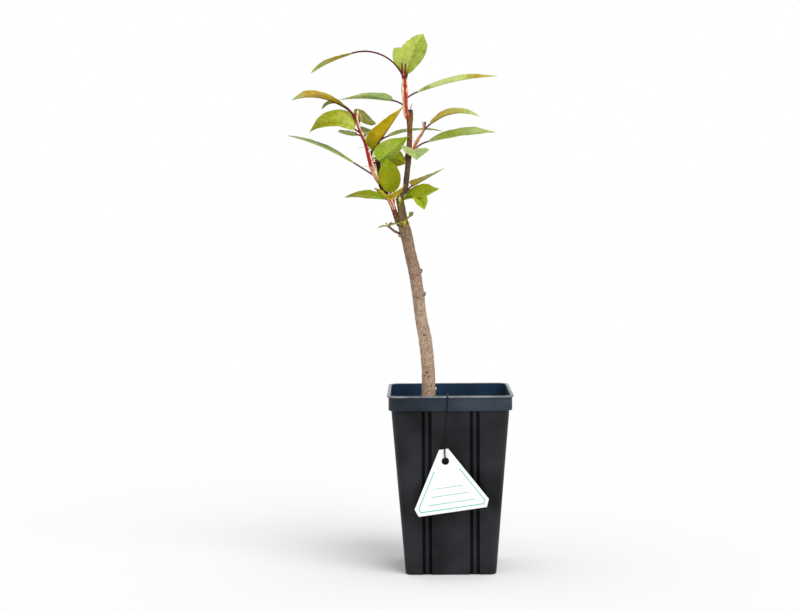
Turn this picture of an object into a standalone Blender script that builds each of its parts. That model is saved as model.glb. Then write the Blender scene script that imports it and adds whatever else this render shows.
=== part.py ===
# Potted bird cherry: a young pruned tree in a square nursery pot, with a blank hanging tag.
# Every size is in millimetres and is turned to metres as a mesh is made.
# +Z is up, the front of the pot faces -Y, and the origin is the middle of the pot's underside.

import math
import random
from typing import NamedTuple

import bmesh
import bpy
from mathutils import Matrix, Vector

MM = 0.001
GAP = 0.3

# Pot: a standard square nursery pot, 9 x 9 x 13 cm
POT_HEIGHT = 130.0
RIM_HALF = 45.0
COLLAR_HALF = 43.9
BODY_TOP_HALF = 42.0
BASE_HALF = 32.6
COLLAR_BOTTOM = 119.0
LIP_THICKNESS = 1.5
POT_WALL = 1.4
FLOOR = 1.8
CORNER_TOP = 8.0
CORNER_BASE = 6.0
CORNER_STEPS = 4
GROOVE_PLACE = 17.0
GROOVE_HALF = 3.5
GROOVE_DEPTH = 1.4
GROOVE_RIB_HALF = 1.1
GROOVE_RIB_DEPTH = 0.7
GROOVE_SLOPE = 0.4
INNER_WIDEN = 0.9
SOIL_WIDEN = 1.4
DRAIN_RADIUS = 3.0
DRAIN_RING = 20.0
DRAIN_COUNT = 8

# Soil: its top lies well below the rim
SOIL_TOP = 115.0

# Tag and its wire
TAG_THICKNESS = 0.6
TAG_HALF_WIDTH = 26.5
TAG_HEIGHT = 45.0
TAG_TOP_WIDTH = 6.5
TAG_CORNER = 5.5
TAG_HOLE_RADIUS = 2.7
TAG_HOLE_DROP = 8.5
TAG_TURN = -8.0
TAG_HOLE_PLACE = (-3.9, -44.3, 83.8)
WIRE_RADIUS = 0.5
WIRE_POINTS = 72

# Trunk and limbs: (x, y, z, radius) at each bend
TRUNK = (
    (-15.2, 0.0, 115.3, 7.2),
    (-15.3, 0.0, 119.0, 5.9),
    (-15.3, 0.0, 126.0, 5.2),
    (-15.4, 0.0, 145.0, 4.9),
    (-17.3, 0.2, 165.7, 4.9),
    (-20.5, 0.5, 183.0, 4.5),
    (-22.4, 0.4, 200.0, 4.5),
    (-24.9, 0.0, 216.4, 4.6),
    (-28.0, -0.3, 230.0, 4.3),
    (-30.8, -0.4, 243.6, 4.5),
    (-32.6, -0.3, 250.0, 4.2),
    (-33.2, 0.0, 256.5, 3.3),
    (-34.9, 0.2, 267.3, 3.0),
)
TRUNK_BUDS = ((200.0, -15.0, 1.5), (216.8, -10.0, 1.5), (249.5, -60.0, 1.6), (243.0, 200.0, 1.5))
BUD_REACH = 3.4
LEADER = (
    (-36.6, 0.2, 267.0, 2.3),
    (-33.8, 0.4, 271.8, 2.2),
    (-31.0, 0.6, 276.4, 2.1),
    (-30.2, 0.8, 283.4, 2.1),
    (-29.1, 1.0, 293.0, 2.1),
    (-28.6, 1.0, 300.0, 2.4),
    (-27.9, 1.0, 309.0, 2.1),
    (-27.6, 1.0, 320.0, 2.0),
    (-27.6, 1.0, 327.0, 2.6),
    (-27.3, 1.0, 333.2, 2.1),
)
LEFT_BOUGH = (
    (-35.2, 0.4, 249.5, 2.1),
    (-37.2, 0.6, 254.0, 2.1),
    (-39.4, 0.9, 260.8, 2.0),
    (-42.6, 1.2, 268.5, 2.0),
    (-48.4, 1.6, 278.2, 1.9),
    (-50.4, 2.0, 289.8, 1.9),
    (-51.0, 2.2, 297.7, 2.0),
)

# Stems of the shoots that carry the leaves
TOP_SHOOT = (
    (-29.2, -0.2, 326.5, 1.7),
    (-30.2, -0.6, 331.0, 2.0),
    (-30.8, -0.8, 340.0, 2.1),
    (-31.0, -0.8, 348.7, 2.6),
    (-31.2, -0.8, 355.0, 1.6),
)
LEFT_SHOOT = (
    (-49.6, 0.4, 280.2, 1.5),
    (-51.8, -1.2, 284.0, 1.8),
    (-54.6, -2.2, 290.5, 2.1),
    (-56.4, -3.0, 297.0, 1.9),
    (-59.2, -4.0, 307.9, 1.5),
    (-62.1, -5.0, 314.8, 1.2),
    (-64.9, -6.0, 322.3, 1.1),
    (-66.2, -6.2, 331.0, 0.8),
)
RIGHT_SHOOT = (
    (-27.2, 0.0, 301.5, 1.0),
    (-25.2, -2.4, 303.6, 1.2),
    (-22.6, -3.4, 310.0, 1.2),
    (-18.6, -4.4, 316.0, 1.1),
    (-17.2, -4.8, 319.6, 1.1),
    (-16.6, -5.0, 324.0, 1.1),
)
SPUR = (
    (-39.3, -0.2, 261.6, 1.2),
    (-40.4, -2.6, 264.8, 1.5),
    (-42.2, -3.8, 269.2, 2.2),
    (-42.8, -4.2, 272.4, 1.6),
)
FORK_SHOOT = (
    (-35.3, -2.2, 263.6, 0.9),
    (-34.6, -4.0, 266.2, 1.0),
    (-31.4, -4.4, 270.0, 0.9),
    (-29.2, -4.2, 274.2, 0.8),
)
LOW_LEFT = (
    (-34.6, -0.6, 243.6, 1.1),
    (-38.4, -1.4, 245.0, 1.0),
    (-42.0, -2.0, 247.8, 0.9),
    (-44.2, -2.2, 250.0, 1.4),
)
LOW_RIGHT = (
    (-32.2, -3.4, 248.0, 0.9),
    (-31.8, -5.6, 250.4, 1.1),
    (-31.4, -6.0, 253.6, 0.8),
)
STALKS = (
    (-32.0, 352.0, 366.6, -4.0),
    (-30.8, 352.0, 366.0, 2.0),
)
STALK_RADIUS = 0.7

# A leaf: a slim stalk that widens into a thin folded blade
STALK_STEPS = 3
LEAF_STALK_RADIUS = 0.65
BLADE_STATIONS = (0.06, 0.18, 0.34, 0.52, 0.7, 0.86, 0.96)
BLADE_THICKNESS = 0.6
BLADE_POWER = 1.55
TIP_HALF = 0.25


class Leaf(NamedTuple):
    """One leaf, by the height where it leaves its stem and the way it grows from there."""

    height: float  # above the floor
    heading: float  # 0 is to the right, 90 is away from the front
    rise: float  # of the stalk above level, at its foot
    stalk: float  # length of the stalk
    dip: float  # how far the stalk bends down along its length
    length: float  # of the blade
    width: float  # of the blade
    belly: float  # how far along the blade it is widest, from 0 at its foot to 1
    droop: float  # how far the blade bends down from foot to tip
    roll: float  # of the blade about its midrib
    twist: float  # further roll from foot to tip
    fold: float  # how far each half is raised from flat
    bite: bool = False  # whether a piece is eaten out of its far edge


TOP_LEAVES = (
    Leaf(353, 30, 55, 6, -25, 33, 30, 0.45, 30, 20, 10, 20, bite=True),
    Leaf(355, 175, 70, 46, 85, 34, 8, 0.65, 20, 5, 15, 25),
    Leaf(340, -10, 45, 10, 25, 60, 10, 0.55, 20, 45, -30, 25),
    Leaf(335, 150, 40, 12, 30, 46, 12, 0.35, 15, -20, 10, 40),
)
LEFT_LEAVES = (
    Leaf(296, -30, 95, 9, 45, 41, 23, 0.25, 0, 0, 10, 40),
    Leaf(324, 190, 65, 14, 30, 40, 17, 0.5, 55, 0, -25, 30),
    Leaf(326, 145, 55, 18, 30, 20, 10, 0.4, 70, 10, -20, 10),
    Leaf(316, 200, 30, 6, -5, 37, 21, 0.25, 80, -45, 0, 30),
    Leaf(313, 130, 35, 8, 35, 22, 11, 0.5, -15, 15, -20, 35),
    Leaf(321, 70, 95, 5, 70, 33, 18, 0.3, 55, 40, 5, 5),
    Leaf(311, 80, 85, 6, 75, 26, 15, 0.5, 0, 5, 0, 35),
    Leaf(295, -20, -12, 6, -50, 30, 18, 0.28, 5, -50, 15, 25),
    Leaf(285, 170, 32, 18, 0, 55, 11, 0.5, 19, 0, -10, 20),
    Leaf(298, 35, 5, 15, 5, 17, 14, 0.5, 30, -55, -25, 30),
    Leaf(296, 30, 85, 24, 65, 48, 7, 0.45, 30, 25, -40, 20),
)
RIGHT_LEAVES = (
    Leaf(313, -10, 60, 12, 20, 39, 13, 0.4, 65, 25, 0, 20),
    Leaf(303, 10, 50, 13, 35, 51, 14, 0.55, 15, 30, -5, 25),
    Leaf(303, -85, 85, 2, 85, 32, 20, 0.5, 30, -10, 10, 20),
)
SPUR_LEAVES = (
    Leaf(268, -110, 90, 5, 0, 27, 16, 0.4, 40, 15, 10, 15),
    Leaf(267, 190, 30, 4, 10, 31, 12, 0.5, 35, 35, -15, 10),
    Leaf(268, 190, 25, 2, -5, 13, 10, 0.5, -15, -25, 15, 25),
    Leaf(268, -50, 45, 1, 30, 19, 14, 0.25, -40, 0, 30, 25),
)
FORK_LEAVES = (
    Leaf(267, -20, 75, 2, 60, 29, 19, 0.35, 0, 20, 35, 25),
    Leaf(268, -45, 25, 11, 25, 16, 11, 0.5, 80, 20, 30, 40),
    Leaf(273, 30, 75, 7, 50, 30, 13, 0.2, 0, 5, -25, 25),
)
LOW_LEFT_LEAVES = (
    Leaf(249.5, 190, 0, 1, 0, 7, 3, 0.4, 30, 0, 0, 30),
    Leaf(249.5, -35, 15, 3, 0, 9, 3, 0.4, 15, 0, 0, 30),
)
LOW_RIGHT_LEAVES = (
    Leaf(253, 15, 50, 4, 15, 5, 4, 0.6, -35, 60, -15, 35),
    Leaf(251, 170, 30, 1, 0, 3, 3, 0.4, 20, 0, 0, 30),
)
BITE_START = 0.5
BITE_KEEP = 0.62

# Leaves on the far side of a shoot follow a rule: (count, lowest, highest, heading, rise)
TOP_BACK = (2, 350.0, 354.0, 70.0, 75.0)
LEFT_BACK = (2, 290.0, 304.0, 66.0, 30.0)
RIGHT_BACK = (1, 303.0, 305.0, 85.0, 12.0)
BACK_STALK = (7.0, 10.0)
BACK_LENGTH = (22.0, 28.0)
BACK_SLIMNESS = 0.45
BACK_SPREAD = 12.0


def clear_scene():
    """Removes the objects that a new file starts with."""
    for obj in list(bpy.data.objects):
        bpy.data.objects.remove(obj, do_unlink=True)


def material(name, colour, roughness):
    """A plain Principled material with the part's colour and roughness."""
    made = bpy.data.materials.new(name)
    made.use_nodes = True
    shader = made.node_tree.nodes["Principled BSDF"]
    shader.inputs["Base Color"].default_value = (*colour, 1.0)
    shader.inputs["Roughness"].default_value = roughness
    made.diffuse_color = (*colour, 1.0)
    return made


def new_object(name, bm, finish, smooth_angle=40.0):
    """Turns a bmesh in millimetres into an object in metres, shaded smooth but for its sharp edges."""
    bmesh.ops.scale(bm, vec=(MM, MM, MM), verts=bm.verts)
    bmesh.ops.recalc_face_normals(bm, faces=bm.faces)
    mesh = bpy.data.meshes.new(name)
    bm.to_mesh(mesh)
    bm.free()
    mesh.shade_smooth()
    mesh.set_sharp_from_angle(angle=math.radians(smooth_angle))
    mesh.materials.append(finish)
    obj = bpy.data.objects.new(name, mesh)
    bpy.context.scene.collection.objects.link(obj)
    return obj


def loft(rings):
    """A closed skin over rings of equally many points, with a face over each end."""
    bm = bmesh.new()
    loops = [[bm.verts.new(point) for point in ring] for ring in rings]
    count = len(loops[0])
    for low, high in zip(loops, loops[1:]):
        for i in range(count):
            j = (i + 1) % count
            bm.faces.new((low[i], low[j], high[j], high[i]))
    bm.faces.new(loops[0][::-1])
    bm.faces.new(loops[-1])
    return bm


def boolean(obj, other, operation):
    """Applies one exact Boolean, then removes the other object."""
    step = obj.modifiers.new("cut", "BOOLEAN")
    step.operation = operation
    step.solver = "EXACT"
    step.object = other
    apply_modifiers(obj)
    bpy.data.objects.remove(other, do_unlink=True)


def apply_modifiers(obj):
    """Replaces an object's mesh with the one that its modifiers make."""
    view = bpy.context.evaluated_depsgraph_get()
    made = bpy.data.meshes.new_from_object(obj.evaluated_get(view))
    obj.modifiers.clear()
    obj.data = made


def join_all(obj, pieces):
    """Fuses the pieces into the object with one Boolean union on a collection."""
    group = bpy.data.collections.new(obj.name + "_pieces")
    bpy.context.scene.collection.children.link(group)
    for piece in pieces:
        bpy.context.scene.collection.objects.unlink(piece)
        group.objects.link(piece)
    step = obj.modifiers.new("join", "BOOLEAN")
    step.operation = "UNION"
    step.solver = "EXACT"
    step.operand_type = "COLLECTION"
    step.collection = group
    apply_modifiers(obj)
    for piece in pieces:
        bpy.data.objects.remove(piece, do_unlink=True)
    bpy.data.collections.remove(group)


def keep_largest(obj):
    """Drops every loose piece of a mesh but the one with the most faces."""
    bm = bmesh.new()
    bm.from_mesh(obj.data)
    left = set(bm.verts)
    islands = []
    while left:
        island = {left.pop()}
        front = list(island)
        while front:
            vert = front.pop()
            for edge in vert.link_edges:
                other = edge.other_vert(vert)
                if other in left:
                    left.remove(other)
                    island.add(other)
                    front.append(other)
        islands.append(island)
    islands.sort(key=len)
    scraps = [vert for island in islands[:-1] for vert in island]
    bmesh.ops.delete(bm, geom=scraps, context="VERTS")
    bm.to_mesh(obj.data)
    bm.free()


def curve_point(points, place):
    """A point on the smooth curve through all the points; place runs from 0 to the last index."""
    last = len(points) - 1
    i = min(int(place), last - 1)
    t = place - i
    before = points[max(i - 1, 0)]
    start = points[i]
    end = points[i + 1]
    after = points[min(i + 2, last)]
    out = (end - before) * 0.5
    into = (after - start) * 0.5
    swing = 2.0 * t**3 - 3.0 * t**2 + 1.0
    return (
        start * swing
        + out * (t**3 - 2.0 * t**2 + t)
        + end * (1.0 - swing)
        + into * (t**3 - t**2)
    )


def limb_path(stations, steps):
    """Centre points and radii along a limb, with the given steps between stations."""
    points = [Vector(station) for station in stations]
    count = (len(points) - 1) * steps
    path = [curve_point(points, i / steps) for i in range(count)] + [points[-1]]
    return [point.to_3d() for point in path], [point[3] for point in path]


def limb_rings(stations, sides, steps, grow=0.0):
    """Round rings along a limb; grow makes it thicker, and longer by as much at both ends."""
    path, radii = limb_path(stations, steps)
    path[0] = path[0] - (path[1] - path[0]).normalized() * grow
    path[-1] = path[-1] + (path[-1] - path[-2]).normalized() * grow
    rings = []
    side = Vector((1.0, 0.0, 0.0))
    for i, (centre, radius) in enumerate(zip(path, radii)):
        along = (path[min(i + 1, len(path) - 1)] - path[max(i - 1, 0)]).normalized()
        side = (side - along * side.dot(along)).normalized()
        across = along.cross(side)
        turns = [math.tau * k / sides for k in range(sides)]
        reach = radius + grow
        rings.append([centre + (side * math.cos(a) + across * math.sin(a)) * reach for a in turns])
    return rings


def level_ends(rings, bottom=None, top=None):
    """Makes the first or last ring lie flat at the given height."""
    for ring, height in ((rings[0], bottom), (rings[-1], top)):
        if height is not None:
            for point in ring:
                point.z = height
    return rings


def limb(name, stations, finish, sides, steps=2, bottom=None, top=None):
    """A tapering round limb with flat ends."""
    rings = level_ends(limb_rings(stations, sides, steps), bottom, top)
    return new_object(name, loft(rings), finish)


def trim_clear(obj, stations, finish, sides=16, steps=2):
    """Cuts an object back to a gap's width clear of a limb."""
    rings = limb_rings(stations, sides, steps, GAP)
    if stations is TRUNK:
        level_ends(rings, None, TRUNK[-1][2] + GAP)
    cutter = new_object("cutter", loft(rings), finish)
    boolean(obj, cutter, "DIFFERENCE")
    keep_largest(obj)


def point_at_height(stations, height, steps=8):
    """The point where a limb's centre line reaches a height."""
    path, _ = limb_path(stations, steps)
    for low, high in zip(path, path[1:]):
        if low.z <= height <= high.z:
            return low.lerp(high, (height - low.z) / (high.z - low.z))
    return path[-1].copy()


def blade_half_width(place, belly):
    """Half the blade's width as a share of its greatest, from foot to tip."""
    foot_power = BLADE_POWER * belly
    tip_power = BLADE_POWER * (1.0 - belly)
    swell = place**foot_power * (1.0 - place) ** tip_power
    return swell / (belly**foot_power * (1.0 - belly) ** tip_power)


def leaf_rings(leaf, foot):
    """Six-sided rings that run up the stalk and then spread into the folded blade."""
    heading = math.radians(leaf.heading)
    forward = Vector((math.cos(heading), math.sin(heading), 0.0))
    level_side = Vector((-math.sin(heading), math.cos(heading), 0.0))
    up = Vector((0.0, 0.0, 1.0))
    marks = [(i / STALK_STEPS, 0.0) for i in range(STALK_STEPS + 1)]
    marks += [(1.0, place) for place in (*BLADE_STATIONS, 1.0)]
    rings = []
    centre = foot.copy()
    before = (0.0, 0.0)
    for mark in marks:
        middle_stalk = 0.5 * (mark[0] + before[0])
        middle_blade = 0.5 * (mark[1] + before[1])
        length = leaf.stalk * (mark[0] - before[0]) + leaf.length * (mark[1] - before[1])
        tilt = math.radians(leaf.rise - leaf.dip * middle_stalk - leaf.droop * middle_blade)
        centre = centre + (forward * math.cos(tilt) + up * math.sin(tilt)) * length
        tilt = math.radians(leaf.rise - leaf.dip * mark[0] - leaf.droop * mark[1])
        along = forward * math.cos(tilt) + up * math.sin(tilt)
        turn = math.radians(leaf.roll + leaf.twist * mark[1]) * min(1.0, mark[0])
        side = Matrix.Rotation(turn, 3, along) @ level_side
        rings.append(leaf_section(leaf, centre, side, along.cross(side), mark[1]))
        before = mark
    return rings


def leaf_section(leaf, centre, side, normal, place):
    """One ring of a leaf: a small hexagon on the stalk, a thin folded strip on the blade."""
    fold = math.radians(leaf.fold) if place > 0.0 else 0.0
    half = LEAF_STALK_RADIUS * 0.87
    edge = LEAF_STALK_RADIUS * 0.5
    middle = LEAF_STALK_RADIUS
    if place > 0.0:
        half = max(0.5 * leaf.width * blade_half_width(min(place, 0.999), leaf.belly), TIP_HALF)
        edge = 0.3 * BLADE_THICKNESS
        middle = 0.5 * BLADE_THICKNESS
    keep = BITE_KEEP if leaf.bite and BITE_START < place < 1.0 else 1.0
    near = normal * half * math.sin(fold) - side * half * math.cos(fold)
    far = (normal * half * math.sin(fold) + side * half * math.cos(fold)) * keep
    return [
        centre + near + normal * edge,
        centre + normal * middle,
        centre + far + normal * edge,
        centre + far - normal * edge,
        centre - normal * middle,
        centre + near - normal * edge,
    ]


def back_leaves(rule, seed):
    """Leaves on the far side of a shoot, spaced along it and varied by a seeded rule."""
    count, lowest, highest, heading, rise = rule
    rng = random.Random(seed)
    leaves = []
    for i in range(count):
        length = rng.uniform(*BACK_LENGTH)
        leaves.append(
            Leaf(
                height=lowest + (highest - lowest) * (i + 0.5) / count,
                heading=heading + rng.uniform(-BACK_SPREAD, BACK_SPREAD),
                rise=rise + rng.uniform(-BACK_SPREAD, BACK_SPREAD),
                stalk=rng.uniform(*BACK_STALK),
                dip=rng.uniform(0.0, 2.0 * BACK_SPREAD),
                length=length,
                width=length * BACK_SLIMNESS,
                belly=0.42,
                droop=rng.uniform(BACK_SPREAD, 3.0 * BACK_SPREAD),
                roll=rng.uniform(-BACK_SPREAD, BACK_SPREAD),
                twist=rng.uniform(-BACK_SPREAD, BACK_SPREAD),
                fold=2.0 * BACK_SPREAD,
            )
        )
    return leaves


def foliage(name, stations, leaves, finish, clear_of, extras=()):
    """One mass: a stem trimmed clear of its limb, with its leaves fused on."""
    mass = limb(name, stations, finish, 8, 2)
    trim_clear(mass, clear_of, finish)
    pieces = list(extras)
    for i, leaf in enumerate(leaves):
        foot = point_at_height(stations, leaf.height)
        pieces.append(new_object(f"{name}_leaf_{i}", loft(leaf_rings(leaf, foot)), finish))
    join_all(mass, pieces)
    return mass


def face_profile(half, corner, depth, rib_depth, widen=0.0):
    """Points along the front face of a square ring, from its left corner's arc to the last groove."""
    points = []
    centre = half - corner
    for i in range(CORNER_STEPS + 1):
        turn = math.radians(180.0 + 90.0 * i / CORNER_STEPS)
        points.append((-centre + corner * math.cos(turn), -centre + corner * math.sin(turn)))
    wide = GROOVE_HALF + widen
    slope = GROOVE_SLOPE
    for middle in (-GROOVE_PLACE, GROOVE_PLACE):
        points += [
            (middle - wide, -half),
            (middle - wide + slope, -half + depth),
            (middle - GROOVE_RIB_HALF - slope, -half + depth),
            (middle - GROOVE_RIB_HALF, -half + rib_depth),
            (middle + GROOVE_RIB_HALF, -half + rib_depth),
            (middle + GROOVE_RIB_HALF + slope, -half + depth),
            (middle + wide - slope, -half + depth),
            (middle + wide, -half),
        ]
    return points


def square_ring(half, corner, z, depth=0.0, rib_depth=None, widen=0.0):
    """A rounded square at height z, with two grooves in each side."""
    rib_depth = depth if rib_depth is None else rib_depth
    face = face_profile(half, corner, depth, rib_depth, widen)
    ring = []
    for quarter in range(4):
        turn = Matrix.Rotation(math.radians(90.0 * quarter), 3, "Z")
        ring += [turn @ Vector((x, y, z)) for x, y in face]
    return ring


def body_half(z):
    """Half the width of the tapering body at height z."""
    return BASE_HALF + (BODY_TOP_HALF - BASE_HALF) * z / COLLAR_BOTTOM


def inner_half(z):
    """Half the width of the pot's inside at height z, below the collar."""
    return body_half(z) - POT_WALL


def build_pot(finish):
    """The pot as one skin: out and up the body and collar, over the lip and down the inside."""
    lip_low = POT_HEIGHT - LIP_THICKNESS
    inner_collar = COLLAR_HALF - POT_WALL
    inner_corner = CORNER_TOP - POT_WALL
    deep = GROOVE_DEPTH
    rib = GROOVE_RIB_DEPTH
    rings = [
        square_ring(BASE_HALF - 1.0, CORNER_BASE - 1.0, 0.0, deep, deep),
        square_ring(body_half(1.2), CORNER_BASE, 1.2, deep, rib),
        square_ring(BODY_TOP_HALF, CORNER_TOP, COLLAR_BOTTOM - 0.4, deep, rib),
        square_ring(COLLAR_HALF - 0.6, CORNER_TOP, COLLAR_BOTTOM),
        square_ring(COLLAR_HALF - 0.3, CORNER_TOP, COLLAR_BOTTOM + 0.4),
        square_ring(COLLAR_HALF, CORNER_TOP, lip_low - 0.2),
        square_ring(RIM_HALF - 0.3, CORNER_TOP, lip_low),
        square_ring(RIM_HALF, CORNER_TOP, lip_low + 0.5),
        square_ring(RIM_HALF - 0.4, CORNER_TOP, POT_HEIGHT - 0.2),
        square_ring(RIM_HALF - 1.1, CORNER_TOP - 0.5, POT_HEIGHT),
        square_ring(inner_collar, inner_corner, POT_HEIGHT - 0.5),
        square_ring(inner_collar - 0.3, inner_corner, COLLAR_BOTTOM),
        square_ring(inner_half(COLLAR_BOTTOM), inner_corner, COLLAR_BOTTOM - 1.0, deep, None, INNER_WIDEN),
        square_ring(inner_half(FLOOR), CORNER_BASE - POT_WALL, FLOOR, deep, None, INNER_WIDEN),
    ]
    pot = new_object("pot", loft(rings), finish)
    for i in range(DRAIN_COUNT):
        turn = math.tau * i / DRAIN_COUNT
        reach = DRAIN_RING * (1.2 if i % 2 else 1.0)
        bm = bmesh.new()
        bmesh.ops.create_cone(
            bm, cap_ends=True, segments=10, radius1=DRAIN_RADIUS, radius2=DRAIN_RADIUS, depth=3.0 * FLOOR
        )
        place = (reach * math.cos(turn), reach * math.sin(turn), 0.5 * FLOOR)
        bmesh.ops.translate(bm, verts=bm.verts, vec=place)
        boolean(pot, new_object("drill", bm, finish), "DIFFERENCE")
    return pot


def build_soil(finish):
    """The filling of the pot, a gap's width clear of its walls, level but for its rounded edge."""
    depth = GROOVE_DEPTH + GAP
    low = FLOOR + GAP
    edge = SOIL_TOP - 2.0
    corner = CORNER_TOP - POT_WALL
    rings = [
        square_ring(inner_half(low) - GAP, CORNER_BASE - POT_WALL, low, depth, None, SOIL_WIDEN),
        square_ring(inner_half(edge) - GAP, corner, edge, depth, None, SOIL_WIDEN),
        square_ring(inner_half(SOIL_TOP) - 4.0, corner, SOIL_TOP, depth, None, SOIL_WIDEN),
    ]
    return new_object("soil", loft(rings), finish)


def build_trunk(finish):
    """The trunk, from its flat foot on the soil to the cut above the fork, with a few old buds."""
    top = TRUNK[-1][2]
    trunk = limb("trunk", TRUNK, finish, 16, 2, TRUNK[0][2], top)
    buds = []
    for i, (height, heading, size) in enumerate(TRUNK_BUDS):
        centre = point_at_height(TRUNK, height)
        turn = math.radians(heading)
        bm = bmesh.new()
        bmesh.ops.create_icosphere(bm, subdivisions=1, radius=size)
        place = centre + Vector((math.cos(turn), math.sin(turn), 0.15)) * BUD_REACH
        bmesh.ops.translate(bm, verts=bm.verts, vec=place)
        buds.append(new_object(f"bud_{i}", bm, finish))
    join_all(trunk, buds)
    return trunk


def tag_outline():
    """The tag's outline about its hole: a triangle with its three corners cut off, turned a little."""
    low = TAG_HOLE_DROP - TAG_HEIGHT
    points = [
        (-0.5 * TAG_TOP_WIDTH, TAG_HOLE_DROP),
        (0.5 * TAG_TOP_WIDTH, TAG_HOLE_DROP),
        (TAG_HALF_WIDTH, low + TAG_CORNER),
        (TAG_HALF_WIDTH - 0.4 * TAG_CORNER, low),
        (-TAG_HALF_WIDTH + 0.4 * TAG_CORNER, low),
        (-TAG_HALF_WIDTH, low + TAG_CORNER),
    ]
    turn = Matrix.Rotation(math.radians(-TAG_TURN), 2)
    return [turn @ Vector(point) for point in points]


def build_tag(finish):
    """A thin plastic tag with a round hole near its top."""
    x, y, z = TAG_HOLE_PLACE
    outline = tag_outline()
    front = [Vector((x + p.x, y - 0.5 * TAG_THICKNESS, z + p.y)) for p in outline]
    back = [Vector((x + p.x, y + 0.5 * TAG_THICKNESS, z + p.y)) for p in outline]
    tag = new_object("tag", loft([front, back]), finish)
    bm = bmesh.new()
    bmesh.ops.create_cone(
        bm, cap_ends=True, segments=20, radius1=TAG_HOLE_RADIUS, radius2=TAG_HOLE_RADIUS, depth=4.0
    )
    bmesh.ops.rotate(bm, verts=bm.verts, matrix=Matrix.Rotation(math.radians(90.0), 3, "X"))
    bmesh.ops.translate(bm, verts=bm.verts, vec=TAG_HOLE_PLACE)
    boolean(tag, new_object("punch", bm, finish), "DIFFERENCE")
    return tag


def wire_route():
    """Points of the wire: up inside the rim, over the lip, down in front, and back through the tag."""
    hole_x, tag_y, hole_z = TAG_HOLE_PLACE
    clear = WIRE_RADIUS + GAP + 0.15
    rim_top = POT_HEIGHT + clear
    inside = -(COLLAR_HALF - POT_WALL) + clear + 0.5
    outside = -RIM_HALF - clear
    front = tag_y - 0.5 * TAG_THICKNESS - clear
    back = tag_y + 0.5 * TAG_THICKNESS + clear
    hole_top = hole_z + TAG_HOLE_RADIUS - clear
    return [
        (-1.8, inside + 1.5, SOIL_TOP + 1.5),
        (-1.9, inside, SOIL_TOP + 7.0),
        (-2.0, inside, POT_HEIGHT - 2.0),
        (-2.0, inside + 0.4, POT_HEIGHT),
        (-2.0, -COLLAR_HALF, rim_top + 0.2),
        (-2.1, outside, POT_HEIGHT - 0.4),
        (-2.2, outside, POT_HEIGHT - 3.0),
        (-2.8, outside, COLLAR_BOTTOM),
        (-3.7, outside, 105.0),
        (-4.2, front, 98.0),
        (hole_x - 0.4, front, hole_z + 7.0),
        (hole_x - 0.2, front, hole_top + 1.0),
        (hole_x, tag_y, hole_top - 0.6),
        (hole_x + 0.3, back, hole_top + 1.0),
        (hole_x + 0.9, back, hole_z + 7.0),
        (hole_x + 1.2, back, hole_z + 12.0),
        (hole_x + 0.9, tag_y - 0.2, hole_z + 14.5),
    ]


def build_wire(finish):
    """The thin stiff wire as one round tube along its route."""
    points = [Vector(point) for point in wire_route()]
    last = len(points) - 1
    curve = bpy.data.curves.new("tag_wire", "CURVE")
    curve.dimensions = "3D"
    curve.bevel_depth = WIRE_RADIUS * MM
    curve.bevel_resolution = 1
    curve.use_fill_caps = True
    spline = curve.splines.new("POLY")
    spline.points.add(WIRE_POINTS - 1)
    for i in range(WIRE_POINTS):
        place = curve_point(points, last * i / (WIRE_POINTS - 1))
        spline.points[i].co = (*(place * MM), 1.0)
    curve.materials.append(finish)
    wire = bpy.data.objects.new("tag_wire", curve)
    bpy.context.scene.collection.objects.link(wire)
    return wire


def build_stalks(finish):
    """Two short upright flower stalks at the top of the leading shoot."""
    stalks = []
    for i, (x, low, high, lean) in enumerate(STALKS):
        shift = (high - low) * math.tan(math.radians(lean))
        stations = (
            (x, -1.0, low, STALK_RADIUS),
            (x + 0.5 * shift, -1.4, 0.5 * (low + high), STALK_RADIUS),
            (x + shift, -1.8, high, STALK_RADIUS),
        )
        stalks.append(limb(f"stalk_{i}", stations, finish, 6, 1))
    return stalks


def build_plant(bark, leafy):
    """The trunk, the two limbs that grow on from it, and the leafy shoots."""
    build_trunk(bark)
    leader = limb("leader", LEADER, bark, 12)
    trim_clear(leader, TRUNK, bark)
    left_bough = limb("left_bough", LEFT_BOUGH, bark, 12)
    trim_clear(left_bough, TRUNK, bark)
    top_leaves = (*TOP_LEAVES, *back_leaves(TOP_BACK, 1))
    left_leaves = (*LEFT_LEAVES, *back_leaves(LEFT_BACK, 2))
    right_leaves = (*RIGHT_LEAVES, *back_leaves(RIGHT_BACK, 3))
    foliage("top_shoot", TOP_SHOOT, top_leaves, leafy, LEADER, build_stalks(leafy))
    foliage("left_shoot", LEFT_SHOOT, left_leaves, leafy, LEFT_BOUGH)
    foliage("right_shoot", RIGHT_SHOOT, right_leaves, leafy, LEADER)
    foliage("spur_rosette", SPUR, SPUR_LEAVES, leafy, LEFT_BOUGH)
    foliage("fork_shoot", FORK_SHOOT, FORK_LEAVES, leafy, TRUNK)
    foliage("low_left_sprout", LOW_LEFT, LOW_LEFT_LEAVES, leafy, TRUNK)
    foliage("low_right_sprout", LOW_RIGHT, LOW_RIGHT_LEAVES, leafy, TRUNK)


def main():
    clear_scene()
    plastic = material("pot_plastic", (0.03, 0.03, 0.035), 0.45)
    earth = material("soil_dark", (0.05, 0.035, 0.025), 0.95)
    bark = material("bark", (0.38, 0.27, 0.2), 0.8)
    leafy = material("leaf_green", (0.35, 0.45, 0.08), 0.55)
    card = material("tag_white", (0.9, 0.9, 0.9), 0.4)
    black = material("wire_black", (0.02, 0.02, 0.02), 0.5)
    build_pot(plastic)
    build_soil(earth)
    build_plant(bark, leafy)
    build_tag(card)
    build_wire(black)


main()
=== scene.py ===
import math
import random
from typing import NamedTuple

import bmesh
import bpy
from mathutils import Matrix, Vector, noise


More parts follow.
